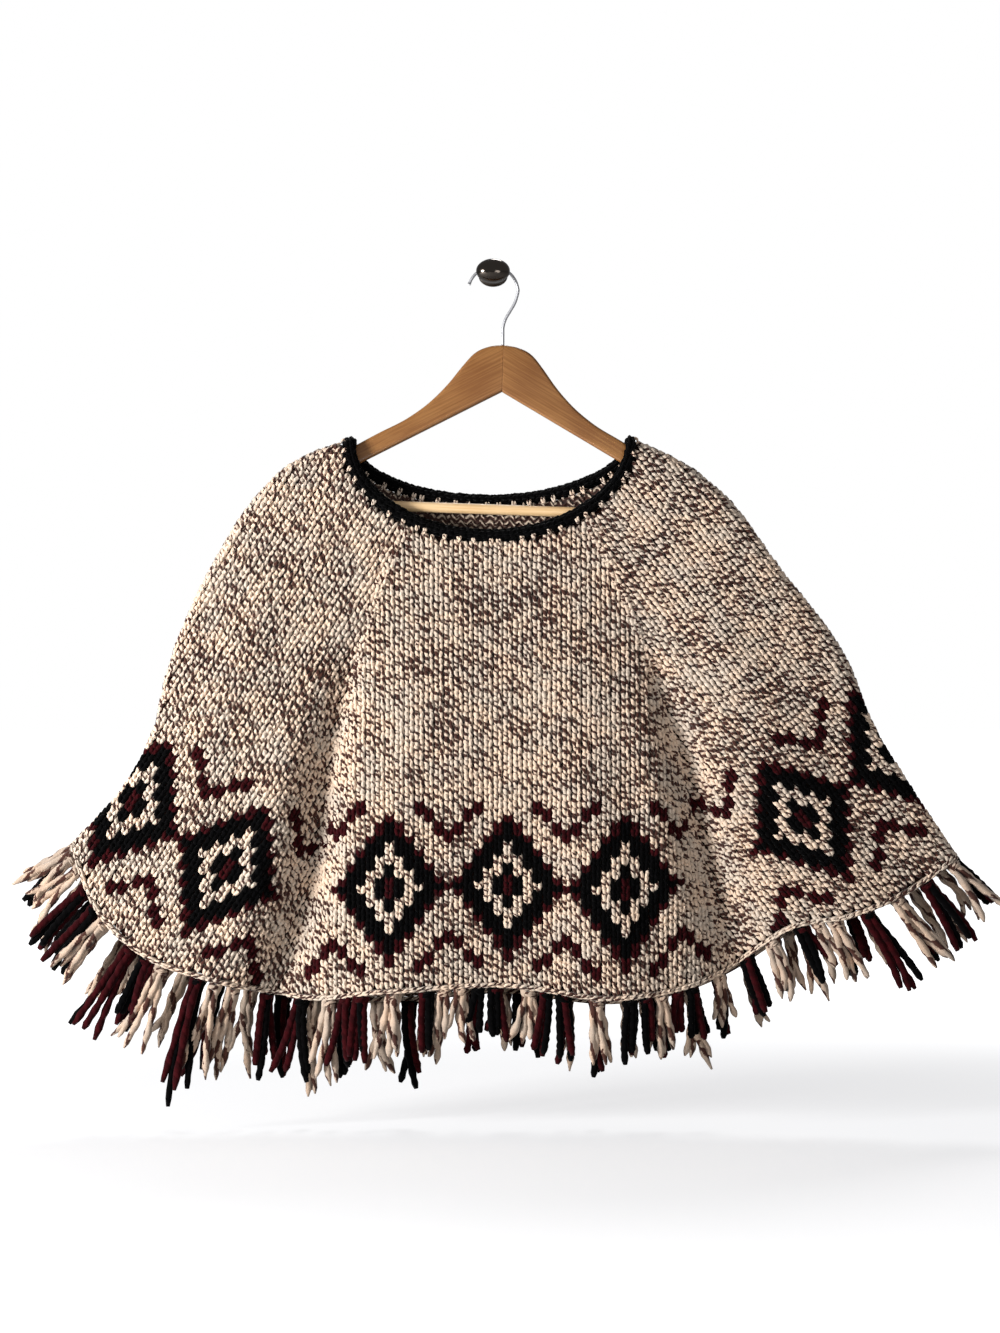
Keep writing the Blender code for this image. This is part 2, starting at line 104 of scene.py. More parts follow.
HemSection = namedtuple("HemSection", "around x z depth swing tassel")
HEM = rows_of(
    HemSection,
    (0.00, -0.420, -0.573, 0.016, -60, 0.066),
    (0.25, -0.394, -0.638, 0.022, -46, 0.072),
    (0.50, -0.344, -0.683, 0.032, -34, 0.088),
    (0.75, -0.278, -0.706, 0.034, -14, 0.098),
    (1.00, -0.205, -0.722, 0.024, -8, 0.085),
    (1.50, -0.109, -0.716, 0.052, -3, 0.074),
    (2.00, 0.010, -0.710, 0.044, 0, 0.058),
    (2.50, 0.128, -0.722, 0.054, 3, 0.066),
    (3.00, 0.238, -0.694, 0.020, 14, 0.058),
    (3.25, 0.296, -0.654, 0.030, 26, 0.055),
    (3.50, 0.355, -0.642, 0.036, 31, 0.064),
    (3.75, 0.414, -0.618, 0.024, 41, 0.078),
    (4.00, 0.463, -0.584, 0.016, 53, 0.060),
    (4.25, 0.430, -0.608, 0.017, 42, 0.064),
    (4.50, 0.378, -0.634, 0.021, 28, 0.062),
    (4.75, 0.312, -0.654, 0.021, 18, 0.060),
    (5.00, 0.240, -0.699, 0.017, 10, 0.060),
    (5.50, 0.130, -0.732, 0.022, 3, 0.062),
    (6.00, 0.005, -0.722, 0.023, 0, 0.060),
    (6.50, -0.100, -0.731, 0.022, -3, 0.070),
    (7.00, -0.225, -0.722, 0.017, -8, 0.080),
    (7.25, -0.292, -0.702, 0.020, -18, 0.086),
    (7.50, -0.350, -0.676, 0.020, -33, 0.080),
    (7.75, -0.396, -0.632, 0.017, -45, 0.070),
)

# Soft folds in the hanging cloth: where round it, from and to how far down, how wide, how deep
Crease = namedtuple("Crease", "around top bottom width depth")
CREASES = rows_of(
    Crease,
    (0.97, 0.22, 1.20, 0.092, -0.0225),
    (0.77, 0.40, 1.12, 0.08, 0.0060),
    (1.18, 0.40, 1.10, 0.08, 0.0040),
    (1.62, 0.40, 0.95, 0.12, -0.0030),
    (2.22, 0.50, 1.05, 0.10, -0.0040),
    (2.82, 0.34, 1.12, 0.09, 0.0060),
    (3.04, 0.24, 1.20, 0.092, -0.0220),
    (3.26, 0.42, 1.12, 0.07, 0.0035),
    (3.40, 0.25, 0.85, 0.14, 0.0040),
    (0.45, 0.20, 0.75, 0.16, 0.0040),
    (5.35, 0.40, 1.00, 0.12, -0.0025),
    (5.90, 0.30, 0.90, 0.15, 0.0020),
    (6.55, 0.45, 1.05, 0.11, -0.0025),
    (7.30, 0.40, 0.95, 0.12, -0.0025),
    (4.60, 0.35, 1.00, 0.12, -0.0025),
)

# How each panel is cut and knitted: its seams, where its rows are counted from, the lean of
# its wales in degrees from straight down, the row of its diamonds' middles, and how far the
# middle diamond is from the panel's middle or its fold
Cut = namedtuple("Cut", "panel start end middle lean chart_row chart_shift width length")
CUTS = rows_of(
    Cut,
    ("front", 1, 3, 2.0, 0.0, 14, 0.015, 0.46, 0.47),
    ("right", 3, 5, 3.5, 38.0, 15, -0.002, 0.50, 0.52),
    ("back", 5, 7, 6.0, 0.0, 14, 0.0, 0.48, 0.50),
    ("left", 7, 9, 8.5, -33.0, 13, 0.026, 0.50, 0.54),
)
FOLDS = {"right": 4, "left": 8}
HEM_EDGE_HEIGHT = 0.007
HemRun = namedtuple("HemRun", "panel start end tassels")
HEM_RUNS = rows_of(
    HemRun,
    ("front", 1, 3, 14),
    ("right", 3, 4, 8),
    ("right", 4, 5, 8),
    ("back", 5, 7, 15),
    ("left", 7, 8, 8),
    ("left", 8, 9, 8),
)
TASSEL_UNEVEN_LENGTH = 0.14
TASSEL_UNEVEN_SWING = 5
TASSEL_SEED = 11
FRONT_TASSEL_SHARE = 0.86

# The hanger, hook and knob, as the solids have them
GAP = 0.0003
HANGER_X = 0.009
HANGER_CORNER_Z = -0.1198
HANGER_ROLL = math.radians(2.0)
ARM_THICK = 0.011
ARM_SLOPE = 0.5480
BAR_Z = -0.2385
BAR_RADIUS = 0.0052
HEEL_OUT = 0.1995
ArmPoint = namedtuple("ArmPoint", "out z")
ARM_TOP = rows_of(
    ArmPoint,
    (0.0, -0.0727),
    (0.014, -0.0747),
    (0.030, -0.0830),
    (0.041, -0.0960),
    (0.053, -0.1120),
    (0.072, -0.1325),
    (0.092, -0.1483),
    (0.124, -0.1664),
    (0.206, -0.2150),
)
ARM_END = rows_of(
    ArmPoint,
    (0.2135, -0.2190),
    (0.2160, -0.2290),
    (0.2150, -0.2390),
    (0.2100, -0.2445),
)
RIM_ROUNDING = 0.0030
MITRE_CHAMFER = 0.0004
WIRE_RADIUS = 0.0015
HOOK_CENTRE_Z = -0.0190
HOOK_RADIUS = 0.0252
HOOK_TIP_DEGREES = 161
HOOK_TIP_RADIUS = 0.0023
STEM_X = 0.0100
STEM_FOOT_Z = -0.0729
Bend = namedtuple("Bend", "x z")
SWAN_NECK = rows_of(
    Bend,
    (0.0100, -0.0620),
    (0.0103, -0.0540),
    (0.0128, -0.0460),
    (0.0172, -0.0385),
    (0.0222, -0.0295),
)
KNOB_FLATNESS = 0.72
KnobRing = namedtuple("KnobRing", "radius out")
KNOB_PROFILE = rows_of(
    KnobRing,
    (0.0145, 0.0000),
    (0.0145, 0.0030),
    (0.0120, 0.0050),
    (0.0066, 0.0075),
    (0.0060, 0.0120),
    (0.0060, 0.0340),
    (0.0090, 0.0370),
    (0.0150, 0.0405),
    (0.0170, 0.0470),
    (0.0155, 0.0540),
    (0.0100, 0.0588),
    (0.0040, 0.0607),
)

# The photograph's view
PICTURE_MIDDLE = (0.007, -0.3965)
PICTURE_HEIGHT = 1.333
CAMERA_DISTANCE = 3.2
CAMERA_PLANE_Y = -0.055
FLOOR_Z = -0.862


# The cloth's surface


def column(rows, name):
    return np.array([getattr(row, name) for row in rows], float)


def smooth(stations, values, at):
    """A smooth curve through the values at the stations, straight beyond both ends."""
    slopes = np.gradient(values, stations)
    k = np.clip(np.searchsorted(stations, at) - 1, 0, len(stations) - 2)
    width = stations[k + 1] - stations[k]
    share = (at - stations[k]) / width
    f = np.clip(share, 0, 1)
    inside = (
        (2 * f**3 - 3 * f**2 + 1) * values[k]
        + (f**3 - 2 * f**2 + f) * width * slopes[k]
        + (3 * f**2 - 2 * f**3) * values[k + 1]
        + (f**3 - f**2) * width * slopes[k + 1]
    )
    return inside + (share - f) * width * np.where(share > 1, slopes[k + 1], slopes[k])


def between(first, last, share):
    return first + (last - first) * share


def round_the_hem(name, around):
    """A column of the hem table at any place round the hem, with no join at the left fold."""
    stations = column(HEM, "around")
    values = column(HEM, name)
    lap = 4
    stations = np.concatenate([stations[-lap:] - 8, stations, stations[:lap] + 8])
    values = np.concatenate([values[-lap:], values, values[:lap]])
    return smooth(stations, values, around)


def creased(around, down):
    """How far the soft folds push the cloth out at a place."""
    push = np.zeros(np.broadcast(around, down).shape)
    for crease in CREASES:
        across = (around - crease.around) / crease.width
        middle = (crease.top + crease.bottom) / 2
        reach = (crease.bottom - crease.top) / 2
        along = np.clip(1 - ((down - middle) / reach) ** 2, 0, 1)
        push = push + crease.depth * np.exp(-(across**2)) * along
    return push


def place(around, down):
    """Points of the cloth's outer face, as an array of x, y, z."""
    around = np.mod(around, 8)
    from_fold = np.abs(np.mod(around + 2, 4) - 2)
    nearest_fold = np.round(around / 4) * 4
    rounding = FOLD_ROUNDING * (1 - from_fold / 2) ** 4
    away = np.sqrt(from_fold**2 + rounding**2) - rounding
    eased = nearest_fold + np.sign(around - nearest_fold) * away
    turns = column(NECK_TURNS, "turn")
    turn = np.radians(np.interp(eased, column(NECK_TURNS, "around"), turns))
    rightward = (1 - np.cos(turn)) / 2
    drop = np.where(turn < math.pi, FRONT_NECK_DROP, BACK_NECK_DROP)
    neck_x = NECK_MIDDLE_X - NECK_HALF_WIDTH * np.cos(turn)
    neck_z = between(*NECK_CORNER_Z, rightward) - drop * np.abs(np.sin(turn))

    shares = {}
    for name in ("left_x", "left_z", "right_x", "right_z"):
        line = column(SIDE_LINES, name)
        reached = smooth(column(SIDE_LINES, "down"), line, down)
        shares[name] = (reached - line[0]) / (line[-1] - line[0])
    spread = between(shares["left_x"], shares["right_x"], rightward)
    side_fall = between(shares["left_z"], shares["right_z"], rightward)
    fall = between(down, side_fall, np.clip(1 - from_fold, 0, 1) ** 2)

    growth = np.clip(down, 0, None) ** DEPTH_GROWTH
    depth = between(NECK_DEPTH, round_the_hem("depth", eased), growth)
    depth = depth + creased(around, down)
    forward = np.where(around < 4, 1, -1)
    bluntness = from_fold / np.sqrt(from_fold**2 + FOLD_BLUNTNESS**2)
    x = between(neck_x, round_the_hem("x", eased), spread)
    y = HANGER_Y - forward * depth * bluntness
    z = between(neck_z, round_the_hem("z", eased), fall)
    return np.stack(np.broadcast_arrays(x, y, z), axis=-1)


def unit(vectors):
    return vectors / np.linalg.norm(vectors, axis=-1, keepdims=True)


def frame_at(around, down):
    """The cloth's point, and its directions along the hem, down the cloth and outwards."""
    step = 1e-4
    around, down = np.asarray(around, float), np.asarray(down, float)
    here = place(around, down)
    along = place(around + step, down) - place(around - step, down)
    fall = place(around, down + step) - place(around, down - step)
    out = np.cross(fall, along)
    return here, unit(along), unit(fall), unit(out)


def run_along(around, down):
    """Metres along the cloth, from the first of the places to each of them."""
    points = place(*np.broadcast_arrays(around, down))
    steps = np.linalg.norm(np.diff(points, axis=0), axis=1)
    return np.concatenate([[0], np.cumsum(steps)])


def evenly(run, stations, count):
    """The stations in the middles of as many equal lengths of a run."""
    return np.interp((np.arange(count) + 0.5) / count * run[-1], run, stations)


def fall_of_one(around):
    """Metres down the cloth, from neck to hem, at a place round it."""
    return run_along(around, np.linspace(0, 1, 60))[-1]


# The knitting


def rows_and_wales(cut):
    """The panel's two knitting directions in the picture's plane: along a row, down a wale."""
    lean = math.radians(cut.lean)
    row = np.array([math.cos(lean), 0, math.sin(lean)])
    wale = np.array([math.sin(lean), 0, -math.cos(lean)])
    return row, wale


# From how far down the rows bend, how much of the hem's bend a side panel takes, and how
# many of its rows may lie below the one that its chart is counted from
BEND_FROM = 0.6
SIDE_BEND = 0.25
ROWS_UNDER_SIDE = 12


class TracedPanel:
    """A panel's rows, followed over the cloth from seam to seam.

    Rows lie straight across the panel's top. The front's and the back's bend to the hem at
    their bottom, and a side panel's keep most of their lean, so that its hem cuts across
    them. A row's stitches are counted along it from the panel's middle, over the fold and on
    to the back.
    """

    def __init__(self, cut, settings):
        self.cut = cut
        self.row_height = settings.row_height
        self.wale_width = settings.wale_width
        row, wale = rows_and_wales(cut)
        spare = 0.14
        across = np.linspace(-1, 1, 181)
        if cut.lean:
            across = across * (0.35 + 0.65 * np.abs(across))
        centre = (cut.start + cut.end) / 2
        self.around = centre + across * ((cut.end - cut.start) / 2 + spare)
        hem_line = place(self.around, np.ones_like(self.around)) @ wale
        inside = (self.around >= cut.start) & (self.around <= cut.end)
        self.hem_at = float(hem_line[inside].mean())
        bend = self.hem_at - hem_line
        self.first = -1
        if cut.lean:
            bend = bend * SIDE_BEND
            self.first = -1 - 2 * ROWS_UNDER_SIDE

        def height(down):
            eased = np.clip((down - BEND_FROM) / (1 - BEND_FROM), 0, 1)
            follow = eased * eased * (3 - 2 * eased)
            return place(self.around[None, :], down) @ wale + bend[None, :] * follow

        top = float((place(self.around[inside], np.zeros(inside.sum())) @ wale).min())
        halves = int((self.hem_at - top) / self.row_height * 2) + 4
        self.half_rows = np.arange(self.first, halves)
        target = self.hem_at - self.half_rows[:, None] * self.row_height / 2
        low = np.full((len(self.half_rows), len(self.around)), -0.6)
        high = np.full_like(low, 1.4)
        for _ in range(34):
            middle = (low + high) / 2
            too_high = height(middle) < target
            low = np.where(too_high, middle, low)
            high = np.where(too_high, high, middle)
        self.down = (low + high) / 2
        points = place(self.around[None, :], self.down)
        steps = np.diff(points, axis=1)
        stride = np.hypot(steps @ row, steps[..., 1])
        run = np.pad(np.cumsum(stride, axis=1), ((0, 0), (1, 0)))
        at_middle = self.middles(points @ row) * (-1 if cut.panel == "back" else 1)
        self.run = run - self.middles(run) + at_middle

    def middles(self, rows):
        """Each row's value at the panel's middle, as a column."""
        return np.array([[np.interp(self.cut.middle, self.around, r)] for r in rows])

    def at(self, half_row, wale):
        """The place of a stitch count on a half row: around and down."""
        k = half_row - self.first
        around = np.interp(wale * self.wale_width, self.run[k], self.around)
        return around, np.interp(around, self.around, self.down[k])

    def spot(self, half_row, wale):
        return place(*self.at(half_row, wale))

    def stitches(self):
        """Every stitch whose middle lies in the panel: its chart place and its two spans."""
        found = []
        for half_row in range(self.first + 2, self.half_rows[-1], 2):
            wales = np.arange(-60, 61) + 0.5
            around, down = self.at(half_row, wales)
            low, high = self.cut.start, self.cut.end
            inside = (around > low - SEAM_LAP) & (around < high + SEAM_LAP)
            inside &= (down > 0.004) & (down < 1)
            wales = wales[inside]
            if not len(wales):
                continue
            middle = self.spot(half_row, wales)
            span = self.spot(half_row, wales + 0.5) - self.spot(half_row, wales - 0.5)
            rise = self.spot(half_row + 1, wales) - self.spot(half_row - 1, wales)
            row = np.full(len(wales), (half_row - 1) / 2)
            found.append((wales - 0.5, row, around[inside], middle, span, rise))
        return [np.concatenate(part) for part in zip(*found)]


# How far the stitches of a panel reach over its seams
SEAM_LAP = 0.012
DIAMOND_EVERY = 12
CHEVRON_ROWS = 7
MARL, CREAM, BLACK, BURGUNDY, LOOSE_MARL = range(5)
Band = namedtuple("Band", "within lift yarn")
DIAMOND_BANDS = rows_of(
    Band,
    (0.60, 0.50, BURGUNDY),
    (1.75, 0.50, BLACK),
    (3.25, 0.50, CREAM),
    (5.35, 0.55, BLACK),
    (6.05, 0.55, BURGUNDY),
)
LOWER_TIP = 12
CHEVRON_LONG = 3.2


def charted_yarn(wale, up, first, count):
    """The chart: diamonds side by side, with a small chevron over and under each joint."""
    yarn = np.full(len(wale), MARL)
    for k in range(count):
        across = np.abs(wale - (first + (k - (count - 1) / 2) * DIAMOND_EVERY))
        yarn = np.where((across < 0.5) & (up < 0) & (up > -LOWER_TIP), BURGUNDY, yarn)
        for band in reversed(DIAMOND_BANDS):
            far = across + np.abs(up) * band.lift
            yarn = np.where(far < band.within, band.yarn, yarn)
    for k in range(count + 1):
        across = np.abs(wale - (first + (k - count / 2) * DIAMOND_EVERY))
        above = up - CHEVRON_ROWS
        below = -up - CHEVRON_ROWS
        for beyond in (above - across * 1.5, below - across * 1.5):
            mark = (beyond > -0.6) & (beyond < 1.1) & (across < CHEVRON_LONG)
            yarn = np.where(mark & (yarn == MARL), BURGUNDY, yarn)
    return yarn


# Small shapes that are copied many times


Template = namedtuple("Template", "points faces uv")


def template_from(bm, round_of, along_of):
    """Reads a small shape into arrays. Its u goes once round the yarn, and v along it."""
    bm.verts.index_update()
    points = np.array([v.co for v in bm.verts])
    faces = [[v.index for v in f.verts] for f in bm.faces]
    uv = []
    for face in faces:
        turns = [round_of(points[i]) for i in face]
        if max(turns) - min(turns) > 0.5:
            turns = [t + 1 if t < 0.5 else t for t in turns]
        uv += [(t, along_of(points[i])) for t, i in zip(turns, face)]
    bm.free()
    return Template(points, faces, np.array(uv))


def pulled_disc(sides, turn, count):
    """A disc, turned and pulled out into a closed tube: its mesh and its rings of points."""
    bm = bmesh.new()
    ring = bmesh.ops.create_circle(bm, cap_ends=True, segments=sides, radius=1)["verts"]
    bmesh.ops.rotate(bm, verts=ring, matrix=Matrix.Rotation(turn, 3, "X"))
    cap = bm.faces[:]
    rings = [list(ring)]
    while len(rings) < count:
        pulled = bmesh.ops.extrude_face_region(bm, geom=cap)["geom"]
        old = cap
        cap = [g for g in pulled if isinstance(g, bmesh.types.BMFace)]
        rings.append([g for g in pulled if isinstance(g, bmesh.types.BMVert)])
        if len(rings) > 2:
            bmesh.ops.delete(bm, geom=old, context="FACES_ONLY")
    return bm, rings


def yarn_tube(sides, stations, radii):
    """A closed tube along +Y from 0 to 1, with a radius for each station."""
    bm, rings = pulled_disc(sides, -math.pi / 2, len(stations))
    for verts, station, radius in zip(rings, stations, radii):
        bmesh.ops.scale(bm, verts=verts, vec=(radius, 1, radius))
        bmesh.ops.translate(bm, verts=verts, vec=(0, station, 0))
    bmesh.ops.recalc_face_normals(bm, faces=bm.faces)
    return bm


def round_the_tube(point):
    return math.atan2(point[2], point[0]) / (2 * math.pi) % 1


# Along a stitch's leg: across in wales, up in rows, out in metres, and the yarn's thickness
LegPoint = namedtuple("LegPoint", "along across up out thick")
LEG = rows_of(
    LegPoint,
    (0.00, 0.045, -0.92, -0.0024, 0.0009),
    (0.30, 0.152, -0.42, 0.0004, 0.0022),
    (0.68, 0.292, 0.24, 0.0006, 0.0024),
    (1.00, 0.372, 0.88, -0.0023, 0.0011),
)
# How much a leg leans, in radians, and how uneven its thickness, sides, height and depth are
LEG_LEAN = 0.28
LEG_UNEVEN = (0.07, 0.025, 0.05, 0.00025)
# A leg's thickness outwards, against the one sideways
LEG_FLATNESS = 0.85


def leg_template():
    """One leg of a stitch: x counts sideways in yarn radii, y goes along the leg."""
    along = column(LEG, "along")
    bm = yarn_tube(5, along, [1.0] * len(along))
    return template_from(bm, round_the_tube, lambda p: p[1])


def copies(template, points, uv_shift, yarn):
    """Joins copies of a template, each in its yarn: points is (copies, points of one, 3)."""
    count = len(points)
    size = len(template.points)
    loops = np.concatenate([np.array(face) for face in template.faces])
    totals = np.array([len(face) for face in template.faces])
    starts = np.concatenate([[0], np.cumsum(totals)[:-1]])
    mesh_loops = (loops[None, :] + np.arange(count)[:, None] * size).ravel()
    mesh_starts = (starts[None, :] + np.arange(count)[:, None] * len(loops)).ravel()
    uv = template.uv[None, :, :] + uv_shift[:, None, :]
    kinds = np.repeat(np.broadcast_to(yarn, count), len(totals))
    totals = np.tile(totals, count)
    return points.reshape(-1, 3), mesh_loops, mesh_starts, totals, uv.reshape(-1, 2), kinds


def counting_on(runs, sizes):
    """Joins runs of numbers, each counted on from where the one before ends."""
    offsets = np.cumsum([0, *sizes])
    return np.concatenate([run + offset for run, offset in zip(runs, offsets)])


def joined_mesh(name, parts, materials):
    """Builds one mesh piece from several runs of copies."""
    points, loops, starts, totals, uv, kinds = zip(*parts)
    starts = counting_on(starts, map(len, loops))
    loops = counting_on(loops, map(len, points))
    points, totals, uv, kinds = map(np.concatenate, (points, totals, uv, kinds))
    mesh = bpy.data.meshes.new(name)
    mesh.vertices.add(len(points))
    mesh.loops.add(len(loops))
    mesh.polygons.add(len(starts))
    for owner, label, values in (
        (mesh.vertices, "co", points.astype(np.float32).ravel()),
        (mesh.loops, "vertex_index", loops.astype(np.int32)),
        (mesh.polygons, "loop_start", starts.astype(np.int32)),
        (mesh.polygons, "loop_total", totals.astype(np.int32)),
        (mesh.polygons, "material_index", kinds.astype(np.int32)),
    ):
        owner.foreach_set(label, values)
    mesh.update(calc_edges=True)
    layer = mesh.uv_layers.new(name="yarn")
    layer.data.foreach_set("uv", uv.astype(np.float32).ravel())
    mesh.validate()
    mesh.shade_smooth()
    return finished(name, mesh, materials)


def finished(name, mesh, materials):
    obj = bpy.data.objects.new(name, mesh)
    bpy.context.scene.collection.objects.link(obj)
    for material in materials:
        obj.data.materials.append(material)
    return obj


def smooth_piece(name, bm, materials):
    """Makes a worked mesh into a piece with smooth shading."""
    mesh = bpy.data.meshes.new(name)
    bm.to_mesh(mesh)
    bm.free()
    mesh.shade_smooth()
    return finished(name, mesh, materials)


def spin_round(bm, axis, steps):
    """Spins everything once round an axis through the origin."""
    bmesh.ops.spin(
        bm,
        geom=bm.verts[:] + bm.edges[:],
        axis=axis,
        angle=2 * math.pi,
        steps=steps,
        use_merge=True,
    )


def bevelled(bm, edges, offset, segments):
    bmesh.ops.bevel(
        bm,
        geom=edges,
        offset=offset,
        segments=segments,
        profile=0.5,
        affect="EDGES",
        material=-1,
    )


def lay_legs(template, middle, span, rise, chance, plump=1.0):
    """Both legs of every stitch, laid on its spans: (stitches x 2, points, 3)."""
    out = unit(np.cross(span, rise))
    count = len(middle)
    x, y, z = template.points.T
    centre_across, centre_up, centre_out, thick = (
        np.interp(y, column(LEG, "along"), column(LEG, name))
        for name in ("across", "up", "out", "thick")
    )
    laid = []
    shifts = []
    for side in (-1, 1):
        uneven = chance.normal(0, 1, (count, 4)) * LEG_UNEVEN
        swell, sidestep, rising, proud = uneven.T[:, :, None]
        radius = thick * plump * (1 + swell)
        across = side * centre_across + sidestep
        up = centre_up + rising
        outward = centre_out + proud + z * radius * LEG_FLATNESS
        lean = side * LEG_LEAN
        edge = unit(span) * math.cos(lean) - unit(rise) * math.sin(lean)
        points = middle[:, None, :]
        moves = ((span, across), (rise, up), (out, outward), (edge, x * radius))
        for direction, reach in moves:
            points = points + direction[:, None, :] * reach[..., None]
        laid.append(points)
        shifts.append(chance.random((2, count)).T)
    return np.concatenate(laid), np.concatenate(shifts)


def worked_legs(leg, yarn, here, across, ahead, chance, *thickness):
    """A row of stitches in one yarn."""
    laid, shift = lay_legs(leg, here, across, ahead, chance, *thickness)
    return copies(leg, laid, shift, yarn)


# Finishes


def new_group(name, inputs, outputs):
    """A node group, with the sockets that its values come in by and its node for the way out."""
    group = bpy.data.node_groups.new(name, "ShaderNodeTree")
    for label, kind, default in inputs:
        socket = group.interface.new_socket(label, in_out="INPUT", socket_type=kind)
        if default is not None:
            socket.default_value = default
    for label, kind in outputs:
        group.interface.new_socket(label, in_out="OUTPUT", socket_type=kind)
    entry = group.nodes.new("NodeGroupInput")
    return group, entry.outputs, group.nodes.new("NodeGroupOutput")


def fill_in(tree, node, inputs):
    """Links or sets a node's inputs, by their names or numbers."""
    for label, value in inputs.items():
        if isinstance(value, bpy.types.NodeSocket):
            tree.links.new(value, node.inputs[label])
        else:
            node.inputs[label].default_value = value


def new_node(tree, kind, inputs=None, **settings):
    node = tree.nodes.new(f"ShaderNode{kind}")
    for name, value in settings.items():
        setattr(node, name, value)
    fill_in(tree, node, inputs or {})
    return node


def math_node(tree, operation, *values):
    return new_node(tree, "Math", dict(enumerate(values)), operation=operation).outputs[0]


def mix_colours(tree, share, first, second, blend="MIX"):
    inputs = {0: share, 6: first, 7: second}
    return new_node(tree, "Mix", inputs, data_type="RGBA", blend_type=blend).outputs[2]


def multiplied(tree, first, second):
    return mix_colours(tree, 1.0, first, second, "MULTIPLY")


def noise(tree, where, scale, detail=2.0):
    inputs = {"Scale": scale, "Detail": detail, "Vector": where}
    return new_node(tree, "TexNoise", inputs).outputs["Fac"]


def soft_step(tree, value, low, high):
    inputs = {"Value": value, "From Min": low, "From Max": high}
    return new_node(tree, "MapRange", inputs, interpolation_type="SMOOTHSTEP").outputs[0]


def object_place(tree):
    return new_node(tree, "TexCoord").outputs["Object"]


def yarn_place(tree):
    """The two directions of a piece's own UV map, round the yarn and along it."""
    uv = new_node(tree, "UVMap", uv_map="yarn").outputs[0]
    return new_node(tree, "SeparateXYZ", {0: uv}).outputs[:2]


def stretched(tree, where, scale):
    return new_node(tree, "Mapping", {"Scale": scale, "Vector": where}).outputs[0]


def plied_yarn_group():
    """Two plies twisted together, in patches where the one or the other shows more, with painted
    shade in the fuzz's hollows.
    """
    group, entry, leave = new_group(
        "plied yarn",
        [
            ("First ply", "NodeSocketColor", (0.8, 0.7, 0.6, 1)),
            ("Second ply", "NodeSocketColor", (0.05, 0.02, 0.02, 1)),
            ("Second ply share", "NodeSocketFloat", 0.4),
            ("Twists", "NodeSocketFloat", 1.2),
            ("Patchiness", "NodeSocketFloat", 0.5),
        ],
        [("Color", "NodeSocketColor"), ("Height", "NodeSocketFloat")],
    )
    round_yarn, along_yarn = yarn_place(group)
    where = object_place(group)
    fuzz = noise(group, where, 900.0, 3.0)
    fleck = noise(group, where, 150.0, 1.0)
    patch = noise(group, where, 26.0, 3.0)
    tone = noise(group, where, 38.0, 2.0)
    twisted = math_node(group, "MULTIPLY", along_yarn, entry["Twists"])
    phase = math_node(group, "SUBTRACT", twisted, round_yarn)
    loose = math_node(group, "MULTIPLY_ADD", fuzz, 0.22, phase)
    loose = math_node(group, "MULTIPLY_ADD", fleck, 0.45, loose)
    turn = math_node(group, "FRACT", loose)
    middle = math_node(group, "ABSOLUTE", math_node(group, "SUBTRACT", turn, 0.5))
    uneven = math_node(group, "MULTIPLY_ADD", fleck, 0.8, patch)
    uneven = math_node(group, "SUBTRACT", uneven, 0.9)
    share = math_node(group, "MULTIPLY", uneven, entry["Patchiness"])
    share = math_node(group, "ADD", share, entry["Second ply share"])
    half = math_node(group, "MULTIPLY", share, 0.5)
    over = math_node(group, "SUBTRACT", half, middle)
    dark = soft_step(group, over, -0.03, 0.03)
    warmth = soft_step(group, tone, 0.35, 0.65)
    warm = mix_colours(group, warmth, (0.82, 0.84, 0.83, 1), (1.0, 0.94, 0.86, 1))
    # Painted shade: the colour darkens where the fuzz is low, the same fuzz that lifts the bump
    raised = soft_step(group, fuzz, 0.3, 0.7)
    fuzz_hollow_shade = mix_colours(group, raised, (0.80, 0.78, 0.76, 1), (1, 1, 1, 1))
    ply = mix_colours(group, dark, entry["First ply"], entry["Second ply"])
    shaded = multiplied(group, multiplied(group, ply, warm), fuzz_hollow_shade)
    wave = math_node(group, "SINE", math_node(group, "MULTIPLY", phase, 4 * math.pi))
    ridge = math_node(group, "MULTIPLY_ADD", wave, 0.5, fuzz)
    fill_in(group, leave, {"Color": shaded, "Height": ridge})
    return group


def wood_group():
    """Straight grain along X: long streaks, fine pores and a slow change of tone."""
    group, entry, leave = new_group(
        "straight grain",
        [
            ("Place", "NodeSocketVector", None),
            ("Light wood", "NodeSocketColor", (0.5, 0.3, 0.15, 1)),
            ("Dark wood", "NodeSocketColor", (0.3, 0.15, 0.06, 1)),
        ],
        [
            ("Color", "NodeSocketColor"),
            ("Height", "NodeSocketFloat"),
            ("Roughness", "NodeSocketFloat"),
        ],
    )
    streak = noise(group, stretched(group, entry["Place"], (12, 620, 620)), 1.0, 4.0)
    pore = noise(group, stretched(group, entry["Place"], (60, 1500, 1500)), 1.0, 2.0)
    slow = noise(group, entry["Place"], 22.0, 1.0)
    mixed = math_node(group, "MULTIPLY_ADD", pore, 0.35, streak)
    mixed = math_node(group, "MULTIPLY_ADD", slow, 0.5, mixed)
    share = soft_step(group, mixed, 0.68, 1.18)
    colour = mix_colours(group, share, entry["Dark wood"], entry["Light wood"])
    rough = math_node(group, "MULTIPLY_ADD", pore, 0.25, 0.3)
    fill_in(group, leave, {"Color": colour, "Height": pore, "Roughness": rough})
    return group


def new_material(name):
    material = bpy.data.materials.new(name)
    material.use_nodes = True
    return material, material.node_tree, material.node_tree.nodes["Principled BSDF"]


def bump(tree, shader, height, strength, distance):
    inputs = {"Strength": strength, "Distance": distance, "Height": height}
    fill_in(tree, shader, {"Normal": new_node(tree, "Bump", inputs).outputs["Normal"]})


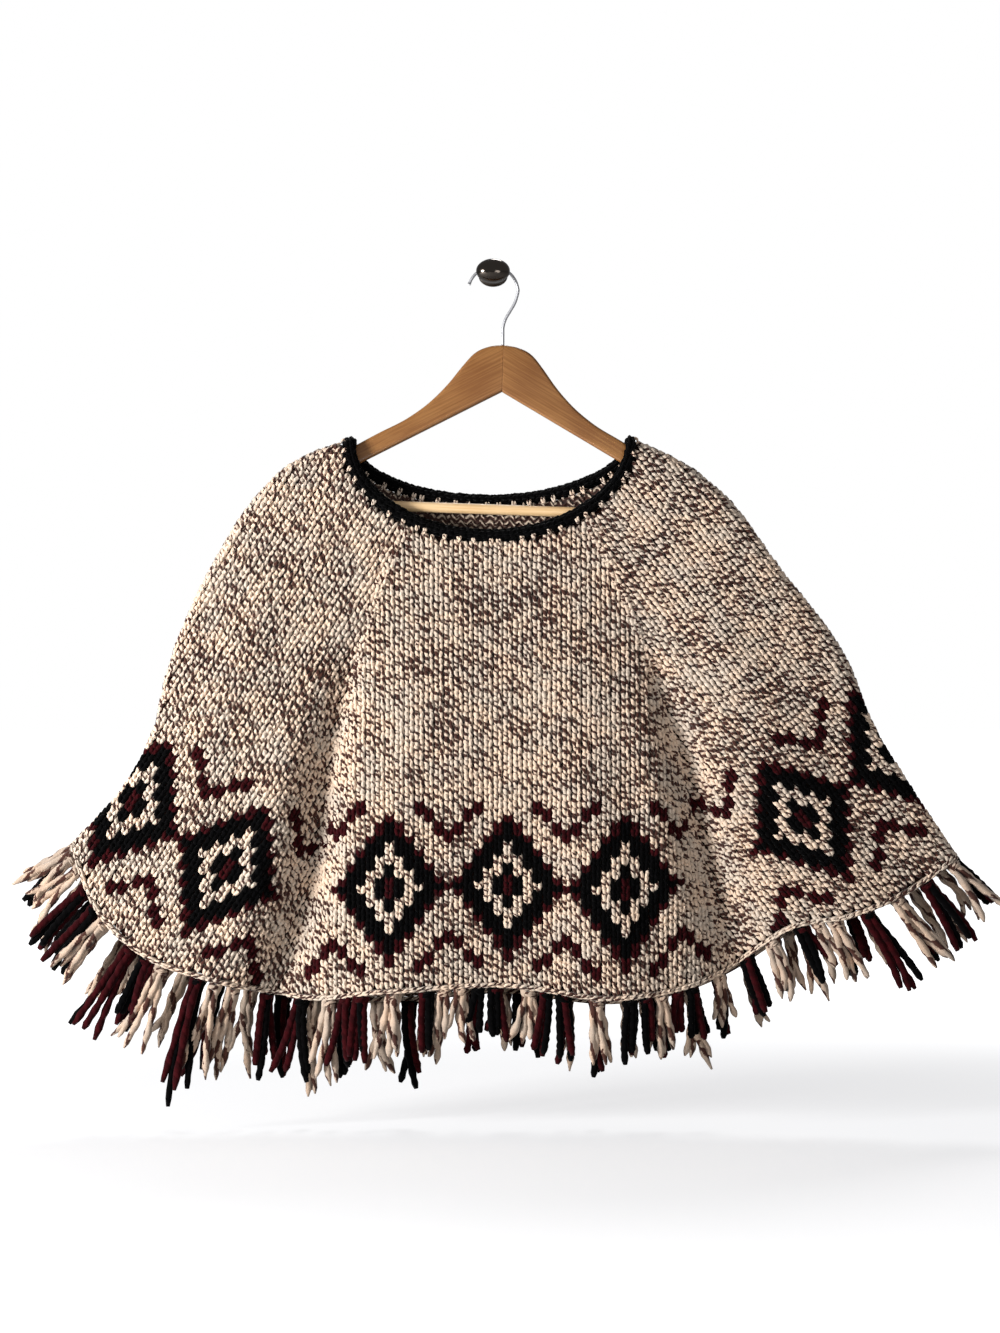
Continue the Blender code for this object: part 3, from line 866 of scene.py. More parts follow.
def yarn_material(name, first, second, share, twists=1.2, patches=0.6, shine=0.2):
    material, tree, shader = new_material(name)
    group = bpy.data.node_groups.get("plied yarn") or plied_yarn_group()
    inputs = {
        "First ply": (*first, 1),
        "Second ply": (*second, 1),
        "Second ply share": share,
        "Twists": twists,
        "Patchiness": patches,
    }
    yarn = new_node(tree, "Group", inputs, node_tree=group).outputs
    bump(tree, shader, yarn["Height"], 0.6, 0.0006)
    fill_in(
        tree,
        shader,
        {
            "Base Color": yarn["Color"],
            "Roughness": 0.92,
            "Sheen Weight": shine,
            "Specular IOR Level": shine,
        },
    )
    return material


def wood_material(name, light, dark, turn_degrees):
    material, tree, shader = new_material(name)
    turn = (0, math.radians(turn_degrees), 0)
    inputs = {"Vector": object_place(tree), "Rotation": turn}
    turned = new_node(tree, "Mapping", inputs).outputs[0]
    group = bpy.data.node_groups.get("straight grain") or wood_group()
    inputs = {"Light wood": (*light, 1), "Dark wood": (*dark, 1), "Place": turned}
    wood = new_node(tree, "Group", inputs, node_tree=group).outputs
    bump(tree, shader, wood["Height"], 0.25, 0.0002)
    fill_in(tree, shader, {"Base Color": wood["Color"], "Roughness": wood["Roughness"]})
    fill_in(tree, shader, {"Coat Weight": 0.15})
    return material


def metal_material(name, colour, roughness):
    material, tree, shader = new_material(name)
    worn = noise(tree, object_place(tree), 400.0, 3.0)
    inputs = {"Value": worn, "To Min": roughness * 0.7, "To Max": roughness * 1.3}
    rough = new_node(tree, "MapRange", inputs).outputs[0]
    look = {"Base Color": (*colour, 1), "Metallic": 1.0, "Roughness": rough}
    fill_in(tree, shader, look)
    return material


class PonchoSettings(bpy.types.PropertyGroup):
    wale_width: FloatProperty(
        name="Wale width",
        description="Distance between neighbouring stitches of a row",
        default=0.00985,
        unit="LENGTH",
    )
    row_height: FloatProperty(
        name="Row height",
        description="Distance between neighbouring rows",
        default=0.00685,
        unit="LENGTH",
    )
    strand_radius: FloatProperty(
        name="Tassel strand radius",
        description="Half the thickness of one plied strand of a tassel",
        default=0.0034,
        unit="LENGTH",
    )
    diamonds: IntProperty(
        name="Diamonds a panel",
        description="How many diamonds are knitted along each panel's hem",
        default=3,
    )
    cream: FloatVectorProperty(
        name="Cream ply",
        description="The light ply of the marl yarn",
        default=(0.80, 0.652, 0.54),
        subtype="COLOR",
    )
    brown: FloatVectorProperty(
        name="Dark ply",
        description="The dark ply of the marl yarn",
        default=(0.060, 0.019, 0.012),
        subtype="COLOR",
    )
    black: FloatVectorProperty(
        name="Black yarn",
        description="The black of the diamonds and edges",
        default=(0.0007, 0.0006, 0.0008),
        subtype="COLOR",
    )
    burgundy: FloatVectorProperty(
        name="Burgundy yarn",
        description="The dark red round the diamonds",
        default=(0.024, 0.0016, 0.0028),
        subtype="COLOR",
    )
    oak: FloatVectorProperty(
        name="Hanger wood",
        description="The lighter tone of the hanger's arms",
        default=(0.305, 0.136, 0.037),
        subtype="COLOR",
    )
    beech: FloatVectorProperty(
        name="Bar wood",
        description="The lighter tone of the trouser bar",
        default=(0.86, 0.60, 0.33),
        subtype="COLOR",
    )


def yarn_materials(settings):
    """The yarns in the order of the chart's numbers, made once."""
    names = ("marl yarn", "cream yarn", "black yarn", "burgundy yarn", "loose marl yarn")
    if names[0] in bpy.data.materials:
        return [bpy.data.materials[name] for name in names]
    cream, brown = tuple(settings.cream), tuple(settings.brown)
    black, burgundy = tuple(settings.black), tuple(settings.burgundy)
    lit_black = tuple(c * 1.8 for c in black)
    lit_burgundy = tuple(c * 1.5 for c in burgundy)
    pale = tuple(min(c * 1.06, 1) for c in cream)
    # The tassels' beige is the cream darkened, partly as painted shade on the hanging fringe
    shaded_beige = tuple(c * k for c, k in zip(cream, (0.72, 0.68, 0.66)))
    return [
        yarn_material(names[0], cream, brown, 0.335, patches=1.25),
        yarn_material(names[1], pale, brown, 0.24, patches=0.5),
        yarn_material(names[2], black, lit_black, 0.5, shine=0.03),
        yarn_material(names[3], burgundy, lit_burgundy, 0.5, shine=0.04),
        yarn_material(names[4], shaded_beige, brown, 0.30, twists=1.0, patches=0.6),
    ]


def shade_backing_material(settings):
    """A dark sheet under the stitches: painted shade in the gaps between the marl's stitches,
    and the dark yarns' own colour behind the black and burgundy ones.
    """
    if "dark backing" in bpy.data.materials:
        return bpy.data.materials["dark backing"]
    deep = tuple(c * 0.16 for c in settings.brown)
    less_deep = tuple(c * 0.34 for c in settings.brown)
    return yarn_material("dark backing", deep, less_deep, 0.5, shine=0.02)


def purl_material(settings):
    """The cloth behind the stitches: wavy purl rows in the marl's own colours, with painted
    shade in the rows' troughs and over the whole inside.
    """
    if "purl side" in bpy.data.materials:
        return bpy.data.materials["purl side"]
    material, tree, shader = new_material("purl side")
    wales, rows = yarn_place(tree)
    where = object_place(tree)
    fuzz = noise(tree, where, 700.0, 3.0)
    patch = noise(tree, where, 160.0, 2.0)
    sideways = math_node(tree, "MULTIPLY", wales, 2 * math.pi)
    lift = math_node(tree, "MULTIPLY", math_node(tree, "SINE", sideways), 0.24)
    rows = math_node(tree, "ADD", rows, lift)
    turns = math_node(tree, "MULTIPLY", rows, 2 * math.pi)
    ridge = math_node(tree, "SINE", turns)
    bands = math_node(tree, "MULTIPLY_ADD", patch, 2.4, wales)
    bands = math_node(tree, "FRACT", math_node(tree, "ADD", bands, rows))
    dark = soft_step(tree, bands, 0.48, 0.56)
    colour = mix_colours(tree, dark, (*settings.cream, 1), (*settings.brown, 1))
    # Painted shade: each purl row's trough is drawn darker, towards the dark ply
    shade = soft_step(tree, ridge, -0.7, 0.35)
    shaded = mix_colours(tree, shade, (*settings.brown, 1), colour)
    # Painted shade: the whole purl side is darkened, more in some patches, as the shade inside
    # the poncho
    inside = mix_colours(tree, patch, (0.50, 0.50, 0.46, 1), (0.84, 0.81, 0.74, 1))
    colour = multiplied(tree, shaded, inside)
    height = math_node(tree, "MULTIPLY_ADD", fuzz, 0.3, ridge)
    bump(tree, shader, height, 1.0, 0.0012)
    fill_in(tree, shader, {"Base Color": colour, "Roughness": 0.95})
    return material


def put_on_root(obj):
    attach(obj, "root")


def pressed_out(bm, faces):
    """Extrudes faces, keeping them, and returns the new vertices."""
    pressed = bmesh.ops.extrude_face_region(bm, geom=faces, use_keep_orig=True)
    return [v for v in pressed["geom"] if isinstance(v, bmesh.types.BMVert)]


def slab(name, around, down, depths, materials, settings, backing=0):
    """A closed wall over a grid of the cloth, between two depths under its outer face.

    Its u counts the cloth's wales and its v the rows.
    """
    columns, rows = len(around) - 1, len(down) - 1
    bm = bmesh.new()
    bmesh.ops.create_grid(bm, x_segments=columns, y_segments=rows, size=0.5)
    bmesh.ops.scale(bm, verts=bm.verts, vec=(columns, rows, 1))
    bmesh.ops.translate(bm, verts=bm.verts, vec=(columns / 2, rows / 2, 0))
    bmesh.ops.translate(bm, verts=pressed_out(bm, bm.faces[:]), vec=(0, 0, -1))
    bmesh.ops.recalc_face_normals(bm, faces=bm.faces)
    verts = list(bm.verts)
    cells = np.round(np.array([v.co for v in verts])).astype(int)
    here, _, _, out = frame_at(around[cells[:, 0]], down[cells[:, 1]])
    points = here - out * np.where(cells[:, 2] == 0, *depths)[:, None]
    # The outer faces take the look numbered by backing; for the cloth under the stitches it is
    # the dark sheet of painted shade
    for face in bm.faces:
        if all(vert.co.z > -0.5 for vert in face.verts):
            face.material_index = backing
    for vert, point in zip(verts, points):
        vert.co = point
    layer = bm.loops.layers.uv.new("yarn")
    for face in bm.faces:
        for loop in face.loops:
            at = loop.vert.co
            loop[layer].uv = (at.x / settings.wale_width, at.z / settings.row_height)
    if bm.calc_volume(signed=True) < 0:
        bmesh.ops.reverse_faces(bm, faces=bm.faces)
    return smooth_piece(name, bm, materials)


SEAM_STITCH = 0.0076
SEAM_WIDTH = 0.0088
# How deep the thin cloth's outer and inner faces lie, and into how many cells it is divided
SHELL_DEPTHS = (0.0014, 0.0042)
CLOTH_COLUMNS = 72
CLOTH_ROWS = 27


class KNIT_OT_panels(bpy.types.Operator):
    """Knit the four panels, stitch by stitch, over a thin cloth of purl rows"""

    bl_idname = "poncho.knit_panels"
    bl_label = "Knit the panels"

    def execute(self, context):
        settings = context.scene.poncho
        template = leg_template()
        yarns = yarn_materials(settings)
        for cut in CUTS:
            traced = TracedPanel(cut, settings)
            wale, row, around, middle, span, rise = traced.stitches()
            chance = np.random.default_rng(int(cut.middle * 10))
            laid, shift = lay_legs(template, middle, span, rise, chance)
            first, count = self.first_diamond(cut, traced), settings.diamonds
            yarn = charted_yarn(wale, row - cut.chart_row, first, count)
            knitted = []
            for name, half in self.halves(cut, around):
                both = np.tile(half, 2)
                yarns_of_half = np.tile(yarn, 2)[both]
                parts = [copies(template, laid[both], shift[both], yarns_of_half)]
                if name == cut.panel:
                    seams = (cut.start, cut.end)
                    parts += [self.seam(at, template, chance) for at in seams]
                knitted.append(joined_mesh(f"knit_{name}", parts, yarns))
            shell = self.cloth(cut, settings)
            for piece in (*knitted, shell):
                put_on_root(piece)
            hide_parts(f"{cut.panel}_panel")
        return {"FINISHED"}

    def halves(self, cut, around):
        """The pieces a panel's stitches are joined into: a side panel is two, at its fold."""
        if not cut.lean:
            return [(cut.panel, np.ones(len(around), bool))]
        fold = FOLDS[cut.panel]
        ahead = around < fold if cut.panel == "right" else around > fold
        return [(f"{cut.panel}_ahead", ahead), (f"{cut.panel}_behind", ~ahead)]

    def seam(self, at, leg, chance):
        """A column of larger stitches down a raglan seam."""
        steps = np.linspace(0.006, 1.0, 300)
        run = run_along(at, steps)
        count = int(run[-1] / SEAM_STITCH)
        down = evenly(run, steps, count)
        here, along, fall, _ = frame_at(np.full(count, float(at)), down)
        ahead = -fall * run[-1] / count
        return worked_legs(leg, MARL, here, along * SEAM_WIDTH, ahead, chance)

    def first_diamond(self, cut, traced):
        """The stitch that the middle diamond is centred on."""
        at_fold = 0.0
        if cut.panel in FOLDS:
            run = traced.run[2 * cut.chart_row + 1 - traced.first]
            at_fold = float(np.interp(FOLDS[cut.panel], traced.around, run))
        return round((at_fold + cut.chart_shift) / traced.wale_width - 0.5)

    def cloth(self, cut, settings):
        """The thin cloth under the stitches, in finer steps near a side panel's fold."""
        across = np.linspace(-1, 1, CLOTH_COLUMNS + 1)
        if cut.lean:
            across = across * (0.7 + 0.3 * np.abs(across))
        around = (cut.start + cut.end) / 2 + across * (cut.end - cut.start) / 2
        down = np.linspace(0.0, 1.0, CLOTH_ROWS + 1)
        # The outer face, under the stitches, takes a dark sheet: painted shade in the gaps
        # between them
        looks = [purl_material(settings), shade_backing_material(settings)]
        name = f"cloth_{cut.panel}"
        return slab(name, around, down, SHELL_DEPTHS, looks, settings, backing=1)


def plan_tassels():
    """Each panel's tassels: evenly spaced along its hem, with uneven lengths and leans."""
    chance = random.Random(TASSEL_SEED)
    plan = {cut.panel: [] for cut in CUTS}
    for hem_run in HEM_RUNS:
        stations = np.linspace(hem_run.start, hem_run.end, 201)
        run = run_along(stations, 1.0)
        for around in evenly(run, stations, hem_run.tassels):
            uneven = chance.uniform(-TASSEL_UNEVEN_LENGTH, TASSEL_UNEVEN_LENGTH)
            length = float(round_the_hem("tassel", around % 8)) * (1 + uneven)
            length *= FRONT_TASSEL_SHARE if 1 < around < 3 else 1
            swing = float(round_the_hem("swing", around % 8))
            swing += chance.uniform(-TASSEL_UNEVEN_SWING, TASSEL_UNEVEN_SWING)
            plan[hem_run.panel].append((around, length, swing))
    return plan


STRAND_STATIONS = 17
# How far below the last row a strand leaves the hem's edge
STRAND_START = 0.0050
# How deep the hem edge's outer and inner faces lie
HEM_EDGE_DEPTHS = (0.0010, 0.0040)
# The hem's chain: how long and wide a stitch is, and how far it stands out
CHAIN_STITCH = 0.0078
CHAIN_WIDTH = 0.0050
CHAIN_PROUD = 0.0012
# A kind of tassel: how many strands, how thick, how far they fan out and curl in degrees,
# the yarn's length for one turn of its twist, and the yarns that its strands are drawn from
TasselKind = namedtuple("TasselKind", "strands radius fan curl turn lobes tip yarns")
MARL_TIP = (0.9, 0.66, 0.25)
DARK_TIP = (1.0, 0.92, 0.55)
MARL_TASSEL = TasselKind(4, 0.0034, 4.6, 14, 0.040, 0.26, MARL_TIP, (LOOSE_MARL,))
DARK_TASSEL = TasselKind(4, 0.0037, 2.6, 10, 0.018, 0.16, DARK_TIP, (BLACK, BURGUNDY))


def strand_template(kind):
    """A long thin tube with many stations, to be bent along each strand's path."""
    stations = np.linspace(0, 1, STRAND_STATIONS)
    radii = [1.0] * (STRAND_STATIONS - len(kind.tip)) + list(kind.tip)
    bm = yarn_tube(8, stations, radii)
    return template_from(bm, round_the_tube, lambda p: p[1])


def lay_strand(template, tassel, kind, offset, phase, chance):
    """One strand's points: it leaves the hem edge, hangs, fans out and curls to its tip."""
    around, length, swing = tassel
    start = 1 + STRAND_START / fall_of_one(around)
    root, along, fall, out = (v[0] for v in frame_at([around], [start]))
    reach = length * (1 + chance.normal(0, 0.09)) + HEM_EDGE_HEIGHT - STRAND_START
    fan = kind.fan * offset + chance.normal(0, 3)
    curl = chance.normal(0, kind.curl)
    lift = chance.normal(0, 0.05)
    s = np.linspace(0, 1, STRAND_STATIONS)
    turn = swing * (1 - 0.12 * s) + fan * np.clip(0.2 + 1.3 * s, 0, 1) + curl * s**1.6
    turn = np.radians(turn)[:, None]
    hang = np.sin(turn) * np.array([1, 0, 0]) - np.cos(turn) * np.array([0, 0, 1])
    eased = np.clip(s / 0.3, 0, 1)[:, None]
    bow = (lift * np.cos(2.6 * s) - 0.03 * s)[:, None]
    heading = unit(fall * (1 - eased) + hang * eased + out * bow)
    steps = np.concatenate([np.zeros((1, 3)), np.cumsum(heading[1:], axis=0)])
    path = root + steps * reach / (STRAND_STATIONS - 1)
    front_row = 0.0010 if round(offset * 2) % 4 in (1, 2) else -0.0020
    gather = 0.0034 - 0.0006 * np.sin(math.pi * np.clip(s * 3, 0, 1))
    tucked = 0.0024 * (1 - np.clip(s * 6, 0, 1)) + 0.0006
    path = path + along * (offset * gather)[:, None]
    path = path + out * (front_row - tucked)[:, None]
    k = np.round(template.points[:, 1] * (STRAND_STATIONS - 1)).astype(int)
    ahead = unit(np.gradient(path, axis=0))
    side = unit(along - ahead * (ahead @ along)[:, None])
    front = np.cross(side, ahead)
    angle = np.arctan2(template.points[:, 2], template.points[:, 0])
    size = np.hypot(template.points[:, 2], template.points[:, 0])
    twist = 2 * math.pi * (s[k] * reach / kind.turn + phase)
    r = kind.radius * size * (1 + kind.lobes * np.cos(2 * (angle - twist)))
    points = path[k] + side[k] * (r * np.cos(angle))[:, None]
    return points + front[k] * (r * np.sin(angle))[:, None], reach


def worked_tassels(tassels, first_dark, chance):
    """The planned tassels, marl and dark in turn, and thinner ones worked in between."""
    worked = []
    for k, tassel in enumerate(tassels):
        dark = (k + first_dark) % 2 == 0
        worked.append((tassel, DARK_TASSEL if dark else MARL_TASSEL))
        if k + 1 < len(tassels) and chance.random() < 0.40:
            around, length, swing = np.mean([tassel, tassels[k + 1]], axis=0)
            kind = DARK_TASSEL if chance.random() < 0.4 else MARL_TASSEL
            length *= chance.uniform(0.78, 1.0)
            swing += chance.normal(0, 6)
            thin = kind._replace(strands=3)
            worked.append(((around, length, swing), thin))
    return worked


class KNIT_OT_tassels(bpy.types.Operator):
    """Crochet the hem's edge and knot the tassels into it"""

    bl_idname = "poncho.knot_tassels"
    bl_label = "Knot the tassels"

    def execute(self, context):
        settings = context.scene.poncho
        yarns = yarn_materials(settings)
        leg = leg_template()
        shapes = {kind.turn: strand_template(kind) for kind in (MARL_TASSEL, DARK_TASSEL)}
        for panel, tassels in plan_tassels().items():
            cut = next(c for c in CUTS if c.panel == panel)
            chance = np.random.default_rng(40 + int(cut.middle))
            parts = [self.chain(cut, leg, chance)]
            worked = worked_tassels(tassels, panel == "left", chance)
            heads = []
            for tassel, kind in worked:
                shape = shapes[kind.turn]
                thick = kind._replace(
                    radius=settings.strand_radius * kind.radius / MARL_TASSEL.radius
                )
                for strand in range(kind.strands):
                    phase = chance.random()
                    offset = strand - (kind.strands - 1) / 2
                    points, reach = lay_strand(
                        shape, tassel, thick, offset, phase, chance
                    )
                    yarn = kind.yarns[int(chance.random() * len(kind.yarns))]
                    turned = shape._replace(uv=shape.uv * np.array([1, reach / kind.turn]))
                    shift = np.array([[0, phase]])
                    parts.append(copies(turned, points[None], shift, yarn))
                heads.append((tassel, yarn))
            parts += self.knots(leg, heads, chance)
            fringe = joined_mesh(f"tassels_{panel}", parts, yarns)
            edge = self.edge(cut, settings)
            put_on_root(fringe)
            put_on_root(edge)
            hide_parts(f"fringe_{panel}")
        return {"FINISHED"}

    def edge(self, cut, settings):
        around = np.linspace(cut.start, cut.end, 161)
        down = 1 + np.array([0.0006, HEM_EDGE_HEIGHT - 0.001]) / fall_of_one(cut.middle)
        looks = [yarn_materials(settings)[MARL]]
        return slab(f"hem_edge_{cut.panel}", around, down, HEM_EDGE_DEPTHS, looks, settings)

    def chain(self, cut, leg, chance):
        """Crochet chain stitches that lie along the hem, head to tail."""
        stations = np.linspace(cut.start, cut.end, 400)
        down = 1 + HEM_EDGE_HEIGHT * 0.5 / fall_of_one(cut.middle)
        run = run_along(stations, down)
        count = int(run[-1] / CHAIN_STITCH)
        around = evenly(run, stations, count)
        here, along, fall, out = frame_at(around, np.full(count, down))
        here, ahead = here + out * CHAIN_PROUD, along * run[-1] / count
        return worked_legs(leg, MARL, here, fall * CHAIN_WIDTH, ahead, chance, 0.62)

    def knots(self, leg, heads, chance):
        """The knot under the edge that holds each tassel: its own yarn, turned across it."""
        parts = []
        for (around, _, _), yarn in heads:
            down = 1 + HEM_EDGE_HEIGHT / fall_of_one(around)
            here, along, fall, out = frame_at([around], [down])
            here = here + fall * 0.0030 + out * 0.0014
            across, ahead = fall * 0.0040, along * 0.0075
            parts.append(worked_legs(leg, yarn, here, across, ahead, chance, 0.9))
        return parts


NECK_EDGE_WIDTH = 0.012
NECK_EDGE_PROUD = 0.0025
NECK_STITCH = 0.0072
# Where on the roll's section its rows of stitches run, and the two rows of cream loops
NECK_ROWS = (-48, 8, 62, 118, 172)
PICK_ROWS = (-30, 214)
PICK_EVERY = 0.0150


class KNIT_OT_neck_edge(bpy.types.Operator):
    """Crochet the black edge round the neck"""

    bl_idname = "poncho.crochet_neck"
    bl_label = "Crochet the neck edge"

    def execute(self, context):
        settings = context.scene.poncho
        yarns = yarn_materials(settings)
        roll = self.roll(yarns[BLACK])
        stitches = self.stitches(yarns)
        for piece in (roll, stitches):
            put_on_root(piece)
        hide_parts("neck_edge")
        return {"FINISHED"}

    def on_roll(self, around, angle, lift=0.0):
        """A point on the roll: its section's angle is 0 on the outer face, 90 at its top."""
        length = self.lengths(around)
        rise = 0.0018 + (NECK_EDGE_WIDTH - 0.0026) * (0.5 + 0.5 * np.sin(angle))
        down = -rise / length
        here, _, _, out = frame_at(around, down)
        thick = CLOTH + NECK_EDGE_PROUD
        inward = CLOTH / 2 - NECK_EDGE_PROUD / 2 - np.cos(angle) * thick / 2
        return here - out * (inward - lift * np.cos(angle))[..., None]

    def lengths(self, around):
        stations = np.linspace(-0.5, 8.5, 46)
        values = np.array([fall_of_one(a) for a in stations])
        return np.interp(around, stations, values)

    def roll(self, material):
        steps, sides = 160, 12
        bm = bmesh.new()
        ring = bmesh.ops.create_circle(bm, segments=sides, radius=0.5)
        turn = Matrix.Rotation(math.pi / 2, 3, "X")
        bmesh.ops.rotate(bm, verts=ring["verts"], matrix=turn)
        bmesh.ops.translate(bm, verts=ring["verts"], vec=(2, 0, 0))
        spin_round(bm, (0, 0, 1), steps)
        verts = list(bm.verts)
        spun = np.array([v.co for v in verts])
        around = np.arctan2(spun[:, 1], spun[:, 0]) / (2 * math.pi) * 8
        angle = np.arctan2(spun[:, 2], np.hypot(spun[:, 0], spun[:, 1]) - 2)
        for vert, point in zip(verts, self.on_roll(np.mod(around, 8), angle, -0.0012)):
            vert.co = point
        bmesh.ops.recalc_face_normals(bm, faces=bm.faces)
        roll = smooth_piece("neck_roll", bm, [material])
        roll.data.uv_layers.new(name="yarn")
        return roll

    def stitches(self, yarns):
        """Rows of chain stitches along the roll, and the first marl loops under it."""
        leg = leg_template()
        chance = np.random.default_rng(5)
        stations = np.linspace(0, 8, 2001)
        run = run_along(stations, 0.0)
        count = int(run[-1] / NECK_STITCH)
        parts = []
        for degrees in NECK_ROWS:
            share = (np.arange(count) + chance.random()) / count
            around = np.interp(share * run[-1], run, stations)
            angle = np.full(count, math.radians(degrees))
            here = self.on_roll(around, angle)
            later, sooner = (self.on_roll(around + s * 4 / count, angle) for s in (1, -1))
            above, below = (self.on_roll(around, angle + turn) for turn in (0.35, -0.35))
            across = -unit(above - below) * NECK_STITCH
            ahead = unit(later - sooner) * NECK_STITCH
            parts.append(worked_legs(leg, BLACK, here, across, ahead, chance, 0.72))
        parts += [self.picks(leg, run, stations, chance, at) for at in PICK_ROWS]
        return joined_mesh("neck_stitches", parts, yarns)

    def picks(self, leg, run, stations, chance, degrees):
        """Small cream loops that the edge is crocheted through, at the panel's top."""
        count = int(run[-1] / PICK_EVERY)
        share = (np.arange(count) + 0.7 * chance.random(count)) / count
        around = np.interp(share * run[-1], run, stations)
        angle = np.full(count, math.radians(degrees))
        here = self.on_roll(around, angle, 0.0014)
        _, along, fall, _ = frame_at(around, np.zeros(count))
        here, across, ahead = here + fall * 0.0022, along * 0.0040, -fall * 0.0044
        return worked_legs(leg, CREAM, here, across, ahead, chance, 0.62)


def hung(bm):
    """Turns what was made about the hanger's corner to where the hanger hangs."""
    bmesh.ops.rotate(bm, verts=bm.verts, matrix=Matrix.Rotation(HANGER_ROLL, 3, "Y"))
    bmesh.ops.translate(bm, verts=bm.verts, vec=(HANGER_X, HANGER_Y, HANGER_CORNER_Z))


def from_bmesh(name, bm, materials):
    """Makes a hard piece: smooth, but for the edges that turn sharply."""
    bmesh.ops.recalc_face_normals(bm, faces=bm.faces)
    piece = smooth_piece(name, bm, materials)
    piece.data.set_sharp_from_angle(angle=math.radians(35))
    return piece


class KNIT_OT_hanger(bpy.types.Operator):
    """Shape the two wooden arms and the round bar between them"""

    bl_idname = "poncho.shape_hanger"
    bl_label = "Shape the hanger"

    def execute(self, context):
        settings = context.scene.poncho
        oak = tuple(settings.oak)
        dark_oak = tuple(c * k for c, k in zip(oak, (0.62, 0.50, 0.36)))
        beech = tuple(settings.beech)
        dark_beech = tuple(c * k for c, k in zip(beech, (0.82, 0.74, 0.62)))
        slope = math.degrees(math.atan(ARM_SLOPE))
        left = wood_material("oak left arm", oak, dark_oak, slope - 2)
        right = wood_material("oak right arm", oak, dark_oak, -slope - 2)
        bar_wood = wood_material("beech bar", beech, dark_beech, -2)
        for name, side, wood in (("left", -1, left), ("right", 1, right)):
            arm = self.arm(f"arm_{name}", side, wood)
            put_on_root(arm)
            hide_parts(f"hanger_{name}")
        bar = self.bar(bar_wood)
        put_on_root(bar)
        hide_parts("trouser_bar")
        return {"FINISHED"}

    def arm(self, name, side, wood):
        outs = column(ARM_TOP, "out")
        heights = column(ARM_TOP, "z")
        stations = np.linspace(0, outs[-1], 70)
        outline = [(o, float(smooth(outs, heights, o))) for o in stations]
        outline += [(end.out, end.z) for end in ARM_END]
        outline.append((HEEL_OUT, ARM_END[-1].z))
        outline.append((HEEL_OUT, HANGER_CORNER_Z - ARM_SLOPE * HEEL_OUT))
        outline.append((0, HANGER_CORNER_Z))
        bm = bmesh.new()
        places = [(side * o, -ARM_THICK / 2, z - HANGER_CORNER_Z) for o, z in outline]
        face = bm.faces.new([bm.verts.new(place) for place in places])
        moved = pressed_out(bm, [face])
        bmesh.ops.translate(bm, verts=moved, vec=(0, ARM_THICK, 0))
        bmesh.ops.recalc_face_normals(bm, faces=bm.faces)
        rims = []
        for edge in bm.edges:
            one, other = (vert.co for vert in edge.verts)
            crosses = abs(one.y - other.y) > 1e-6
            if not crosses and abs(one.x) + abs(other.x) > 0.001:
                rims.append(edge)
        bevelled(bm, rims, RIM_ROUNDING, 4)
        mitre = [e for e in bm.edges if max(abs(v.co.x) for v in e.verts) < 1e-6]
        bevelled(bm, mitre, MITRE_CHAMFER, 1)
        hung(bm)
        return from_bmesh(name, bm, [wood])

    def bar(self, wood):
        bm = bmesh.new()
        bmesh.ops.create_cone(
            bm,
            cap_ends=True,
            segments=32,
            radius1=BAR_RADIUS,
            radius2=BAR_RADIUS,
            depth=2 * (HEEL_OUT - GAP / 2),
        )
        turn = Matrix.Rotation(math.pi / 2, 3, "Y")
        bmesh.ops.rotate(bm, verts=bm.verts, matrix=turn)
        bmesh.ops.translate(bm, verts=bm.verts, vec=(0, 0, BAR_Z - HANGER_CORNER_Z))
        hung(bm)
        return from_bmesh("bar", bm, [wood])


STEEL_COLOUR = (0.46, 0.46, 0.48)
NICKEL_COLOUR = (0.090, 0.076, 0.065)


